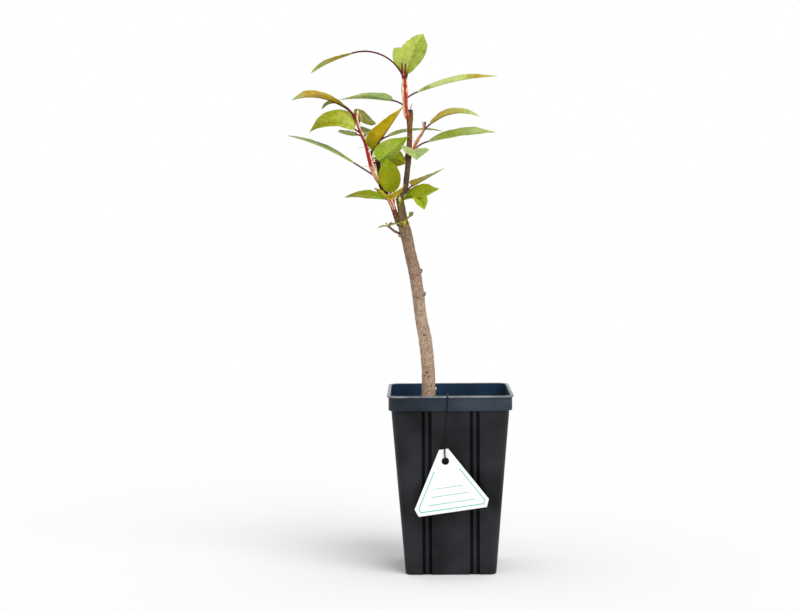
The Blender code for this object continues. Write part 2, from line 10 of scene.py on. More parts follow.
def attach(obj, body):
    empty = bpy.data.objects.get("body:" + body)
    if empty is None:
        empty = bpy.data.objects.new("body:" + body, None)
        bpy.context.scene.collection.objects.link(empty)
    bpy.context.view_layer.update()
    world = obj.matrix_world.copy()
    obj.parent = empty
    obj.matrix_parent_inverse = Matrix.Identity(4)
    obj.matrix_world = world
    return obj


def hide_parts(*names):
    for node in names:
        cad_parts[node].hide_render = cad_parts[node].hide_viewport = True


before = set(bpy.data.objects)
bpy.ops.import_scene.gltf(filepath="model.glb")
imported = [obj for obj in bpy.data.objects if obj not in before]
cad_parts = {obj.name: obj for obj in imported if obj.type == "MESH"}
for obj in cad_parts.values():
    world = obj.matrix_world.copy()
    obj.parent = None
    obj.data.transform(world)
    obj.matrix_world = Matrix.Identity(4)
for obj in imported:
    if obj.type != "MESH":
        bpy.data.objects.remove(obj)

# The looks of a young potted bird cherry. Sizes are in millimetres and turned to metres by MM.
# +Z is up and the front of the pot faces -Y, as in the solids, whose sizes are repeated here.
MM = 0.001
UP = Vector((0.0, 0.0, 1.0))
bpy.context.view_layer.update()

# Camera, fitted to the pot's corners
CAMERA_PLACE = (-21.6, -1290.5, 269.2)
CAMERA_LENS = 80.0
CAMERA_DOWN = 3.45
CAMERA_LEFT = 0.62
CAMERA_ROLL = -0.43

# Light
SKY_TOP = 0.55
SUN_STRENGTH = 1.6
SUN_SPREAD = 45.0
SUN_FROM = (0.55, -0.75, 0.9)

# Pot
POT_HEIGHT = 130.0
RIM_HALF = 45.0
COLLAR_HALF = 43.9
BODY_TOP_HALF = 42.0
BASE_HALF = 32.6
COLLAR_BOTTOM = 119.0
LIP_THICKNESS = 1.5
POT_WALL = 1.4
FLOOR = 1.8
CORNER_TOP = 8.0
CORNER_BASE = 6.0
CORNER_STEPS = 12
GROOVE_PLACE = 17.0
GROOVE_HALF = 3.5
GROOVE_DEPTH = 1.4
# Half of a groove's section: (share of its half width, share of its depth), from edge to middle
GROOVE_SECTION = (
    (1.08, 0.0),
    (0.99, 0.08),
    (0.94, 0.3),
    (0.88, 0.9),
    (0.8, 1.0),
    (0.46, 1.0),
    (0.38, 0.9),
    (0.33, 0.58),
    (0.26, 0.5),
)
BODY_ROWS = 28
PANEL_SAG = 0.35
DRAIN_RADIUS = 3.0
DRAIN_RING = 20.0
DRAIN_COUNT = 8

# Soil
SOIL_TOP = 115.0
SOIL_GAP = 0.3
SOIL_RINGS = 26
CRUMBS = 420
GRITS = 34

# Tag
TAG_THICKNESS = 0.6
TAG_HALF_WIDTH = 26.5
TAG_HEIGHT = 45.0
TAG_TOP_WIDTH = 6.5
TAG_CORNER = 5.5
TAG_HOLE_DROP = 8.5
TAG_TURN = -8.0
TAG_HOLE_PLACE = (-3.9, -44.3, 83.8)
PRINT_LIFT = 0.05
BORDER_INSET = 2.4
BORDER_WIDTH = 0.55
BORDER_TOP = -4.5
RULE_HEIGHTS = (-18.5, -24.0, -29.5)

# Trunk and limbs: (x, y, z, radius) at each bend, as in the solids
TRUNK = (
    (-15.2, 0.0, 115.3, 7.2),
    (-15.3, 0.0, 119.0, 5.9),
    (-15.3, 0.0, 126.0, 5.2),
    (-15.4, 0.0, 145.0, 4.9),
    (-17.3, 0.2, 165.7, 4.9),
    (-20.5, 0.5, 183.0, 4.5),
    (-22.4, 0.4, 200.0, 4.5),
    (-24.9, 0.0, 216.4, 4.6),
    (-28.0, -0.3, 230.0, 4.3),
    (-30.8, -0.4, 243.6, 4.5),
    (-32.6, -0.3, 250.0, 4.2),
    (-33.2, 0.0, 256.5, 3.3),
    (-34.9, 0.2, 267.3, 3.0),
)
TRUNK_BUDS = ((200.0, -15.0, 1.5), (216.8, -10.0, 1.5), (249.5, -60.0, 1.6), (243.0, 200.0, 1.5))
# New buds: (height, heading, length, tint)
TRUNK_SPROUTS = ((129.5, -10.0, 2.6, "cream"), (125.5, -35.0, 2.4, "lime"))
LEADER_SPROUTS = ((296.5, 180.0, 3.4, "moss"), (298.5, -150.0, 2.2, "olive"))
LEADER = (
    (-36.6, 0.2, 267.0, 2.3),
    (-33.8, 0.4, 271.8, 2.2),
    (-31.0, 0.6, 276.4, 2.1),
    (-30.2, 0.8, 283.4, 2.1),
    (-29.1, 1.0, 293.0, 2.1),
    (-28.6, 1.0, 300.0, 2.4),
    (-27.9, 1.0, 309.0, 2.1),
    (-27.6, 1.0, 320.0, 2.0),
    (-27.6, 1.0, 327.0, 2.6),
    (-27.3, 1.0, 333.2, 2.1),
)
LEFT_BOUGH = (
    (-35.2, 0.4, 249.5, 2.1),
    (-37.2, 0.6, 254.0, 2.1),
    (-39.4, 0.9, 260.8, 2.0),
    (-42.6, 1.2, 268.5, 2.0),
    (-48.4, 1.6, 278.2, 1.9),
    (-50.4, 2.0, 289.8, 1.9),
    (-51.0, 2.2, 297.7, 2.0),
)
TOP_SHOOT = (
    (-29.2, -0.2, 326.5, 1.7),
    (-30.2, -0.6, 331.0, 2.0),
    (-30.8, -0.8, 340.0, 2.1),
    (-31.0, -0.8, 348.7, 2.6),
    (-31.2, -0.8, 355.0, 1.6),
)
LEFT_SHOOT = (
    (-49.6, 0.4, 280.2, 1.5),
    (-51.8, -1.2, 284.0, 1.8),
    (-54.6, -2.2, 290.5, 2.1),
    (-56.4, -3.0, 297.0, 1.9),
    (-59.2, -4.0, 307.9, 1.5),
    (-62.1, -5.0, 314.8, 1.2),
    (-64.9, -6.0, 322.3, 1.1),
    (-66.2, -6.2, 331.0, 0.8),
)
RIGHT_SHOOT = (
    (-27.2, 0.0, 301.5, 1.0),
    (-25.2, -2.4, 303.6, 1.2),
    (-22.6, -3.4, 310.0, 1.2),
    (-18.6, -4.4, 316.0, 1.1),
    (-17.2, -4.8, 319.6, 1.1),
    (-16.6, -5.0, 324.0, 1.1),
)
SPUR = (
    (-39.3, -0.2, 261.6, 1.2),
    (-40.4, -2.6, 264.8, 1.5),
    (-42.2, -3.8, 269.2, 2.2),
    (-42.8, -4.2, 272.4, 1.6),
)
FORK_SHOOT = (
    (-35.3, -2.2, 263.6, 0.9),
    (-34.6, -4.0, 266.2, 1.0),
    (-31.4, -4.4, 270.0, 0.9),
    (-29.2, -4.2, 274.2, 0.8),
)
LOW_LEFT = (
    (-34.6, -0.6, 243.6, 1.1),
    (-38.4, -1.4, 245.0, 1.0),
    (-42.0, -2.0, 247.8, 0.9),
    (-44.2, -2.2, 250.0, 1.4),
)
LOW_RIGHT = (
    (-32.2, -3.4, 248.0, 0.9),
    (-31.8, -5.6, 250.4, 1.1),
    (-31.4, -6.0, 253.6, 0.8),
)
STALKS = (
    (-32.0, 352.0, 366.6, -4.0),
    (-30.8, 352.0, 366.0, 2.0),
)
STALK_RADIUS = 0.7

# A leaf's mesh: rows follow the side veins, columns run from the midrib to both edges
LEAF_STALK_RADIUS = 0.62
STALK_STEPS = 10
STALK_SIDES = 10
FRAME_STEPS = 48
VEINS = 9
ROWS_PER_VEIN = 8
HALF_COLUMNS = 9
BLADE_POWER = 1.55
BLADE_THICKNESS = 0.3
DRIP_TIP = 0.45
VEIN_SWEEP = 0.84
MOST_SWEEP = 0.8
QUILT = 0.22
RIB_GROOVE = 0.22
TOOTH = 0.2
BITE_START = 0.5


class Leaf(NamedTuple):
    """One leaf, by the height where it leaves its stem and the way it grows from there."""

    height: float  # above the floor
    heading: float  # 0 is to the right, 90 is away from the front
    rise: float  # of the stalk above level, at its foot
    stalk: float  # length of the stalk
    dip: float  # how far the stalk bends down along its length
    length: float  # of the blade
    width: float  # of the blade
    belly: float  # how far along the blade it is widest, from 0 at its foot to 1
    droop: float  # how far the blade bends down from foot to tip
    roll: float  # of the blade about its midrib
    twist: float  # further roll from foot to tip
    fold: float  # how far each half is raised from flat
    tints: tuple = ("fresh",)  # colours from foot to tip
    rib: str = "pale"  # colour of the midrib
    petiole: str = "maroon"  # colour of the stalk
    other: tuple = ()  # colours of the half on the right of the midrib, where they differ
    spots: float = 0.0  # share of brown flecks
    bite: int = 0  # side of a piece eaten out of the edge


TOP_LEAVES = (
    Leaf(353, 30, 55, 6, -25, 33, 30, 0.45, 30, 20, 10, 20, ("light",), "fresh", other=("fresh",), spots=0.3, bite=1),
    Leaf(355, 175, 70, 46, 85, 34, 8, 0.65, 20, 5, 15, 25, ("moss", "amber", "grey", "light"), "moss"),
    Leaf(340, -10, 45, 10, 25, 60, 10, 0.55, 20, 45, -30, 25, ("olive", "pale", "pale", "gold", "pale"), petiole="purple"),
    Leaf(335, 150, 40, 12, 30, 46, 12, 0.35, 15, -20, 10, 40, ("grey", "grey", "pale"), petiole="purple"),
)
LEFT_LEAVES = (
    Leaf(296, -30, 95, 9, 45, 41, 23, 0.25, 0, 0, 10, 40, ("olive", "gold", "gold", "yellow"), "maroon"),
    Leaf(324, 190, 65, 14, 30, 40, 17, 0.5, 55, 0, -25, 30, ("olive", "gold", "amber", "grey"), "maroon"),
    Leaf(326, 145, 55, 18, 30, 20, 10, 0.4, 70, 10, -20, 10, ("olive", "moss"), "moss"),
    Leaf(316, 200, 30, 6, -5, 37, 21, 0.25, 80, -45, 0, 30, ("light", "lime", "olive"), "olive", spots=0.1),
    Leaf(313, 130, 35, 8, 35, 22, 11, 0.5, -15, 15, -20, 35, ("grey", "moss"), "grey"),
    # This leaf arches away; its dark olive tint is partly its own colour and partly painted shade
    Leaf(321, 70, 95, 5, 70, 33, 18, 0.3, 55, 40, 5, 5, ("olive",), "olive"),
    Leaf(311, 80, 85, 6, 75, 26, 15, 0.5, 0, 5, 0, 35, ("pale",)),
    Leaf(295, -20, -12, 6, -50, 30, 18, 0.28, 5, -50, 15, 25, ("bright", "fresh", "bright"), "fresh"),
    Leaf(285, 170, 32, 18, 0, 55, 11, 0.5, 19, 0, -10, 20, ("fresh", "grey", "grey"), petiole="purple"),
    Leaf(298, 35, 5, 15, 5, 17, 14, 0.5, 30, -55, -25, 30, ("lime",), "olive"),
    Leaf(296, 30, 85, 24, 65, 48, 7, 0.45, 30, 25, -40, 20, ("moss", "grey", "grey"), petiole="maroon"),
)
RIGHT_LEAVES = (
    Leaf(313, -10, 60, 12, 20, 39, 13, 0.4, 65, 25, 0, 20, ("amber", "pale"), "olive", other=("amber", "olive", "pale")),
    Leaf(303, 10, 50, 13, 35, 51, 14, 0.55, 15, 30, -5, 25, ("grey", "fresh", "grey", "pale"), petiole="purple"),
    Leaf(303, -85, 85, 2, 85, 32, 20, 0.5, 30, -10, 10, 20, ("pale", "grey")),
)
SPUR_LEAVES = (
    Leaf(268, -110, 90, 5, 0, 27, 16, 0.4, 40, 15, 10, 15, ("lime", "lime", "bright"), "bright"),
    Leaf(267, 190, 30, 4, 10, 31, 12, 0.5, 35, 35, -15, 10, ("bright", "lime", "moss"), "fresh"),
    Leaf(268, 190, 25, 2, -5, 13, 10, 0.5, -15, -25, 15, 25, ("yellow", "gold"), "yellow"),
    Leaf(268, -50, 45, 1, 30, 19, 14, 0.25, -40, 0, 30, 25, ("yellow", "gold", "yellow"), "yellow"),
)
FORK_LEAVES = (
    Leaf(267, -20, 75, 2, 60, 29, 19, 0.35, 0, 20, 35, 25, ("bright", "lime", "bright"), "fresh"),
    Leaf(268, -45, 25, 11, 25, 16, 11, 0.5, 80, 20, 30, 40, ("lime", "bright"), "fresh"),
    Leaf(273, 30, 75, 7, 50, 30, 13, 0.2, 0, 5, -25, 25, ("gold", "moss", "grey"), "moss"),
)
LOW_LEFT_LEAVES = (
    Leaf(249.5, 190, 0, 1, 0, 7, 3, 0.4, 30, 0, 0, 30, ("grey", "moss"), petiole="olive"),
    Leaf(249.5, -35, 15, 3, 0, 9, 3, 0.4, 15, 0, 0, 30, ("olive",), petiole="olive"),
)
LOW_RIGHT_LEAVES = (
    Leaf(253, 15, 50, 4, 15, 5, 4, 0.6, -35, 60, -15, 35, ("moss", "grey"), petiole="olive"),
    Leaf(251, 170, 30, 1, 0, 3, 3, 0.4, 20, 0, 0, 30, ("yellow",), petiole="olive"),
)

# Leaves on the far side of a shoot follow a rule: (count, lowest, highest, heading, rise)
TOP_BACK = (2, 350.0, 354.0, 70.0, 75.0)
LEFT_BACK = (2, 290.0, 304.0, 66.0, 30.0)
RIGHT_BACK = (1, 303.0, 305.0, 85.0, 12.0)
BACK_STALK = (7.0, 10.0)
BACK_LENGTH = (22.0, 28.0)
BACK_SLIMNESS = 0.45
BACK_SPREAD = 12.0

# Bracts and stipules, as small leaves
TOP_SCALES = (
    Leaf(340, -140, 90, 0.3, 0, 12, 2.2, 0.6, -10, 0, 0, 10, ("cream", "cream")),
    Leaf(338, -50, 95, 0.3, 0, 13, 2.2, 0.6, -10, 0, 0, 10, ("cream", "cream")),
    Leaf(345, -15, 90, 0.3, 0, 10, 2.0, 0.5, -10, 0, 0, 10, ("cream", "cream")),
    Leaf(337, 195, 85, 0.3, 0, 9, 1.4, 0.4, -20, 0, 0, 0, ("peach", "cream")),
    Leaf(347, 190, 95, 0.3, 0, 12, 1.2, 0.4, -10, 0, 0, 0, ("twig", "cream")),
    Leaf(331, -20, 55, 0.3, 0, 7, 1.4, 0.4, -20, 0, 0, 0, ("twig", "twig")),
)
LEFT_SCALES = (
    Leaf(321, 0, 60, 0.3, 0, 9, 1.3, 0.4, -60, 0, 0, 0, ("cream", "cream")),
    Leaf(327, 60, 85, 0.3, 0, 6, 1.8, 0.4, 10, 0, 0, 0, ("cream", "cream")),
    Leaf(306, 190, 0, 0.3, 0, 5, 0.6, 0.4, 10, 0, 0, 0, ("pale", "pale")),
    Leaf(310, 200, 100, 0.3, 0, 7, 2.2, 0.4, 10, 0, 0, 0, ("cream", "peach")),
    Leaf(292, 190, 10, 0.3, 0, 5, 2.4, 0.4, 10, 0, 0, 0, ("tan", "cream")),
    Leaf(296, -20, 75, 0.3, 0, 9, 1.6, 0.4, -10, 0, 0, 0, ("cream", "cream")),
    Leaf(286, -30, 100, 0.3, 0, 11, 1.2, 0.4, 0, 0, 0, 0, ("cream", "peach")),
)
RIGHT_SCALES = (
    Leaf(320, 200, 85, 0.3, 0, 5, 1.8, 0.4, 0, 0, 0, 0, ("cream", "cream")),
    Leaf(309, 180, 70, 0.3, 0, 6, 1.6, 0.4, -10, 0, 0, 0, ("tan", "cream")),
    Leaf(307, 10, 60, 0.3, 0, 8, 1.2, 0.4, -10, 0, 0, 0, ("peach", "lime")),
)
SPUR_SCALES = (
    Leaf(262, -50, 110, 0.3, 0, 9, 1.8, 0.5, 0, 0, 0, -20, ("cream", "cream")),
    Leaf(262, -130, 90, 0.3, 0, 9, 1.8, 0.5, 0, 0, 0, -20, ("cream", "cream")),
    Leaf(263, -90, 95, 0.3, 0, 8, 2.2, 0.5, 0, 0, 0, -20, ("coral", "peach")),
    Leaf(271, -75, -25, 0.3, 0, 5, 6.0, 0.3, 20, 0, 0, 20, ("yellow", "yellow")),
)
FORK_SCALES = (Leaf(266, -100, 80, 0.3, 0, 5, 1.8, 0.5, 10, 0, 0, -20, ("yellow", "cream")),)
LOW_LEFT_SCALES = (Leaf(249, 60, 60, 0.3, 0, 4, 2.0, 0.5, 20, 0, 0, -20, ("tan", "twig")),)
LOW_RIGHT_SCALES = (
    Leaf(249.5, 10, 40, 0.3, 0, 4, 2.4, 0.5, 10, 0, 0, -20, ("yellow", "lime")),
    Leaf(249.5, 190, 40, 0.3, 0, 4, 2.2, 0.5, 10, 0, 0, -20, ("yellow", "lime")),
)

# Colours as red, green and blue from 0 to 255
TINTS = {
    "fresh": (160, 178, 66),
    "light": (180, 194, 86),
    "pale": (188, 202, 126),
    "grey": (156, 176, 104),
    "moss": (142, 144, 66),
    "bright": (140, 166, 26),
    "lime": (152, 156, 12),
    "gold": (184, 156, 14),
    "yellow": (206, 186, 60),
    "olive": (120, 118, 6),
    "amber": (186, 150, 40),
    "fleck": (112, 98, 24),
    "maroon": (92, 22, 24),
    "purple": (88, 60, 66),
    "crimson": (158, 28, 30),
    "coral": (208, 100, 74),
    "peach": (222, 166, 130),
    "cream": (240, 226, 190),
    "tan": (172, 128, 82),
    "twig": (118, 94, 74),
    "bark_low": (184, 156, 133),
    "bark_mid": (165, 143, 123),
    "bark_high": (144, 118, 100),
    "bark_moss": (116, 102, 72),
    "bark_brown": (122, 88, 52),
    "bark_red": (128, 76, 54),
    "bark_plum": (106, 84, 66),
    "bark_dark": (70, 44, 36),
    "lenticel": (118, 82, 58),
    "dot": (226, 208, 186),
}

# Colours along each limb, as (height, tint)
TRUNK_LOOK = ((118, "bark_low"), (150, "bark_low"), (185, "bark_mid"), (225, "bark_high"), (262, "bark_moss"))
LEADER_LOOK = (
    (268, "bark_moss"),
    (278, "bark_plum"),
    (293, "bark_plum"),
    (299, "bark_dark"),
    (303, "bark_red"),
    (316, "bark_brown"),
    (327, "bark_brown"),
    (333, "bark_dark"),
)
BOUGH_LOOK = ((250, "bark_brown"), (262, "bark_red"), (272, "bark_dark"), (280, "bark_dark"))
TOP_LOOK = ((327, "coral"), (331, "peach"), (343, "coral"), (348, "cream"), (355, "peach"))
LEFT_LOOK = ((281, "tan"), (288, "peach"), (294, "crimson"), (318, "crimson"), (325, "coral"), (331, "crimson"))
RIGHT_LOOK = ((302, "crimson"), (307, "coral"), (312, "tan"), (320, "twig"), (324, "bark_dark"))
SPUR_LOOK = ((262, "coral"), (267, "coral"), (271, "gold"))
FORK_LOOK = ((264, "olive"), (268, "lime"), (274, "moss"))
LOW_LEFT_LOOK = ((243, "twig"), (248, "twig"), (250, "tan"))
LOW_RIGHT_LOOK = ((248, "olive"), (251, "yellow"), (254, "lime"))

# Stripes that run up a stem: (turn about it, half its width, tint), both in degrees
TOP_STREAKS = ((-75, 22, "crimson"), (-140, 18, "cream"), (-175, 20, "twig"), (70, 40, "coral"))
LEFT_STREAKS = ((-15, 35, "cream"), (-175, 35, "coral"), (90, 25, "cream"))
RIGHT_STREAKS = ((-160, 30, "peach"), (60, 40, "coral"))
SPUR_STREAKS = ((-50, 15, "cream"), (-130, 15, "cream"), (90, 40, "crimson"))


class Mark(NamedTuple):
    """A raised mark on bark, such as a pore or an old scar."""

    height: float
    turn: float  # about the limb, in degrees
    wide: float  # half its width round the limb
    tall: float  # half its height
    lift: float
    tint: str


TRUNK_SCARS = (
    Mark(169.6, -94.0, 1.7, 0.8, 0.35, "bark_dark"),
    Mark(142.4, -105.0, 1.4, 0.9, 0.3, "bark_dark"),
    Mark(248.6, -112.0, 1.6, 1.0, 0.4, "bark_red"),
    Mark(214.0, -120.0, 1.0, 0.5, 0.2, "lenticel"),
    Mark(213.0, -68.0, 0.8, 0.6, 0.2, "bark_dark"),
    Mark(198.0, -20.0, 1.2, 1.0, 0.3, "bark_dark"),
)


class Skin:
    """Points and faces gathered for one piece, each face with its own material."""

    def __init__(self):
        self.points = []
        self.faces = []
        self.slots = []
        self.materials = []

    def add_points(self, points):
        first = len(self.points)
        self.points.extend(points)
        return range(first, len(self.points))

    def add_face(self, corners, material):
        if material not in self.materials:
            self.materials.append(material)
        self.faces.append(tuple(corners))
        self.slots.append(self.materials.index(material))

    def add_loft(self, rings, look):
        """A closed skin over rings; look gives a material from a face's ring, side and middle."""
        loops = [self.add_points(ring) for ring in rings]
        count = len(loops[0])
        for n, (low, high) in enumerate(zip(loops, loops[1:])):
            for i in range(count):
                j = (i + 1) % count
                middle = (rings[n][i] + rings[n + 1][j]) * 0.5
                self.add_face((low[i], low[j], high[j], high[i]), look(n, i, middle))
        self.add_face(reversed(loops[0]), look(0, 0, rings[0][0]))
        self.add_face(loops[-1], look(len(rings) - 2, 0, rings[-1][0]))

    def build(self, name, slot, replaced=None, smooth_angle=50.0):
        """Makes the piece, in metres, riding on the plant's one body."""
        mesh = bpy.data.meshes.new(name)
        mesh.from_pydata([point * MM for point in self.points], [], self.faces)
        for material in self.materials:
            mesh.materials.append(material)
        mesh.polygons.foreach_set("material_index", self.slots)
        bm = bmesh.new()
        bm.from_mesh(mesh)
        bmesh.ops.recalc_face_normals(bm, faces=bm.faces)
        bm.to_mesh(mesh)
        bm.free()
        mesh.shade_smooth()
        mesh.set_sharp_from_angle(angle=math.radians(smooth_angle))
        piece = bpy.data.objects.new(name, mesh)
        bpy.context.scene.collection.objects.link(piece)
        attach(piece, "root")
        if replaced:
            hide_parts(replaced)
        return piece


def linear(tint):
    """A named colour as the linear values that a shader takes."""
    return tuple(((channel / 255.0 + 0.055) / 1.055) ** 2.4 for channel in TINTS[tint])


def shader_of(material):
    return material.node_tree.nodes["Principled BSDF"]


def new_material(name, colour, roughness, **values):
    """A Principled material whose constants are set on the shader itself."""
    made = bpy.data.materials.new(name)
    made.use_nodes = True
    shader = shader_of(made)
    shader.inputs["Base Color"].default_value = (*colour, 1.0)
    shader.inputs["Roughness"].default_value = roughness
    for key, value in values.items():
        shader.inputs[key.replace("_", " ")].default_value = value
    return made


def noise_node(material, scale, detail):
    """A noise pattern fixed to the object."""
    nodes = material.node_tree.nodes
    place = nodes.new("ShaderNodeTexCoord")
    pattern = nodes.new("ShaderNodeTexNoise")
    pattern.inputs["Scale"].default_value = scale
    pattern.inputs["Detail"].default_value = detail
    material.node_tree.links.new(place.outputs["Object"], pattern.inputs["Vector"])
    return pattern


def add_mottle(material, scale, low, high, detail=4.0, socket="Base Color"):
    """Runs the base colour, or the roughness, between two values by noise."""
    ramp = material.node_tree.nodes.new("ShaderNodeValToRGB")
    for element, place, value in zip(ramp.color_ramp.elements, (0.32, 0.68), (low, high)):
        element.position = place
        element.color = (*value, 1.0) if socket == "Base Color" else (value, value, value, 1.0)
    links = material.node_tree.links
    links.new(noise_node(material, scale, detail).outputs["Fac"], ramp.inputs["Fac"])
    links.new(ramp.outputs["Color"], shader_of(material).inputs[socket])


def add_bump(material, scale, strength, distance, detail=4.0):
    """Adds a fine relief by noise."""
    bump = material.node_tree.nodes.new("ShaderNodeBump")
    bump.inputs["Strength"].default_value = strength
    bump.inputs["Distance"].default_value = distance
    links = material.node_tree.links
    links.new(noise_node(material, scale, detail).outputs["Fac"], bump.inputs["Height"])
    links.new(bump.outputs["Normal"], shader_of(material).inputs["Normal"])


def scaled(colour, factor):
    return tuple(channel * factor for channel in colour)


def mixed(first, second, share):
    return tuple(a + (b - a) * share for a, b in zip(first, second))


SHADES = (0.86, 1.0, 1.12)
BLEND_STEPS = 3
finishes = {}


def finish(kind, first, second=None, step=0, shade=1):
    """The plant's material between two tints, made once for each step and shade."""
    if step == BLEND_STEPS:
        first, step = second, 0
    if step == 0:
        second = None
    key = (kind, first, second, step, shade)
    if key not in finishes:
        colour = linear(first)
        if second:
            colour = mixed(colour, linear(second), step / BLEND_STEPS)
        name = "_".join(str(part) for part in (kind, first, second or "plain", step, shade))
        finishes[key] = PLANT_MATERIALS[kind](name, scaled(colour, SHADES[shade]))
    return finishes[key]


def leaf_material(name, colour):
    made = new_material(name, colour, 0.5, Specular_IOR_Level=0.12)
    add_bump(made, 1400.0, 0.22, 0.0002)
    return made


def stem_material(name, colour):
    made = new_material(name, colour, 0.45, Specular_IOR_Level=0.2)
    add_bump(made, 1100.0, 0.25, 0.0002)
    return made


def bark_material(name, colour):
    made = new_material(name, colour, 0.85, Specular_IOR_Level=0.12)
    add_mottle(made, 620.0, scaled(colour, 0.68), scaled(colour, 1.24), 6.0)
    add_bump(made, 900.0, 0.6, 0.0004, 6.0)
    return made


PLANT_MATERIALS = {"leaf": leaf_material, "stem": stem_material, "bark": bark_material}


def speckle(spot, size, seed=0.0):
    """Smooth noise from -1 to 1 with patches of the given size."""
    return max(-1.0, min(1.0, 1.6 * noise.noise(spot / size + Vector((seed, 2.0 * seed, 0.0)))))


def shade_at(spot, size=3.0):
    """Which of the three shades a face takes."""
    value = 0.4 * speckle(spot, 0.4 * size, 5.0) + 0.7 * speckle(spot, 1.5 * size, 9.0)
    return 0 if value < -0.3 else 2 if value > 0.34 else 1


def finish_along(kind, zones, place, spot, soften=0.3):
    """The finish at a place along zones of (place, tint), with borders broken up by noise."""
    last = len(zones) - 1
    n = 0
    while n < last - 1 and place > zones[n + 1][0]:
        n += 1
    (start, first), (end, second) = zones[n], zones[min(n + 1, last)]
    share = (place - start) / max(end - start, 1e-6) + soften * speckle(spot, 2.5)
    step = round(BLEND_STEPS * max(0.0, min(1.0, share)))
    if first == second:
        step = 0
    return finish(kind, first, second, step, shade_at(spot))


def curve_point(points, place):
    """A point on the smooth curve through all the points; place runs from 0 to the last index."""
    last = len(points) - 1
    i = min(int(place), last - 1)
    t = place - i
    before = points[max(i - 1, 0)]
    start = points[i]
    end = points[i + 1]
    after = points[min(i + 2, last)]
    out = (end - before) * 0.5
    into = (after - start) * 0.5
    swing = 2.0 * t**3 - 3.0 * t**2 + 1.0
    return (
        start * swing
        + out * (t**3 - 2.0 * t**2 + t)
        + end * (1.0 - swing)
        + into * (t**3 - t**2)
    )


def limb_path(stations, steps):
    """Centre points and radii along a limb, with the given steps between stations."""
    points = [Vector(station) for station in stations]
    count = (len(points) - 1) * steps
    path = [curve_point(points, i / steps) for i in range(count)] + [points[-1]]
    return [point.to_3d() for point in path], [point[3] for point in path]


def point_at_height(stations, height, steps=8):
    """The point where a limb's centre line reaches a height."""
    path, _ = limb_path(stations, steps)
    for low, high in zip(path, path[1:]):
        if low.z <= height <= high.z:
            return low.lerp(high, (height - low.z) / (high.z - low.z))
    return path[-1].copy()


def radius_at_height(stations, height):
    path, radii = limb_path(stations, 8)
    return min(zip(path, radii), key=lambda pair: abs(pair[0].z - height))[1]


def scatter_marks(stations, count, size, lift, tint, seed):
    """Small marks spread over a limb by a seeded rule."""
    rng = random.Random(seed)
    low, high = stations[0][2] + 4.0, stations[-1][2] - 1.0
    marks = []
    for _ in range(count):
        wide = size * rng.uniform(0.6, 1.3)
        marks.append(
            Mark(rng.uniform(low, high), rng.uniform(-180.0, 180.0), wide, 0.42 * wide, lift, tint)
        )
    return marks


def mark_at(marks, height, turn, radius):
    """The lift of the marks at a spot, and the tint of the one that covers it."""
    lift, tint = 0.0, None
    for mark in marks:
        rise = (height - mark.height) / mark.tall
        if abs(rise) > 1.0:
            continue
        away = math.remainder(turn - math.radians(mark.turn), math.tau) * radius / mark.wide
        reach = rise * rise + away * away
        if reach < 1.0:
            lift += mark.lift * (1.0 - reach) ** 1.5
            if reach < 0.7:
                tint = mark.tint
    return lift, tint


def streak_at(streaks, turn, spot):
    """The tint of the stripe at a turn about a stem, with wandering edges."""
    for middle, wide, tint in streaks:
        away = abs(math.remainder(turn - middle, 360.0))
        if away < wide * (1.0 + 0.6 * speckle(spot, 3.0, middle)):
            return tint
    return None


def add_limb(skin, stations, kind, zones, sides, steps, relief=0.2, marks=(), streaks=(), ends=(None, None)):
    """A limb with its fine relief, marks and colours; ends give the height of level ends."""
    path, radii = limb_path(stations, steps)
    last = len(path) - 1
    side = Vector((1.0, 0.0, 0.0))
    rings, tints = [], []
    for i, (centre, radius) in enumerate(zip(path, radii)):
        along = (path[min(i + 1, last)] - path[max(i - 1, 0)]).normalized()
        side = (side - along * side.dot(along)).normalized()
        across = along.cross(side)
        near = [mark for mark in marks if abs(mark.height - centre.z) < mark.tall + 2.0]
        ring, row = [], []
        for k in range(sides):
            turn = math.tau * k / sides
            out = side * math.cos(turn) + across * math.sin(turn)
            spot = centre + out * radius
            rough = 0.6 * noise.noise(Vector((spot.x, spot.y, spot.z * 0.45)) * 0.55)
            rough += 0.5 * noise.noise(Vector((spot.x, spot.y, spot.z * 0.8)) * 1.5)
            rough += 0.3 * noise.noise(spot * 3.2)
            lift, tint = mark_at(near, spot.z, turn, radius)
            ring.append(centre + out * (radius + relief * (rough - 0.4) + lift))
            row.append(tint)
        rings.append(ring)
        tints.append(row)
    for ring, height in ((rings[0], ends[0]), (rings[-1], ends[1])):
        if height is not None:
            for point in ring:
                point.z = height
    foot, tip = cap_rings(rings[0], path[0]), cap_rings(rings[-1], path[-1])
    skirt = len(foot)

    def look(n, k, middle):
        row = n - skirt
        if row < 0 or row >= last:
            return finish(kind, "bark_dark" if kind == "bark" else zones[-1][1], shade=shade_at(middle, 0.8))
        if tints[row][k]:
            return finish(kind, tints[row][k], shade=shade_at(middle, 0.8))
        streak = streak_at(streaks, 360.0 * (k + 0.5) / sides, middle)
        if streak:
            return finish(kind, streak, shade=shade_at(middle))
        return finish_along(kind, zones, middle.z, middle)

    skin.add_loft(foot[::-1] + rings + tip, look)


def cap_rings(ring, centre):
    """Rings that close an end, shrinking in towards its middle."""
    middle = sum(ring, Vector()) / len(ring)
    return [[middle + (point - middle) * share for point in ring] for share in (0.9, 0.7, 0.4, 0.12)]


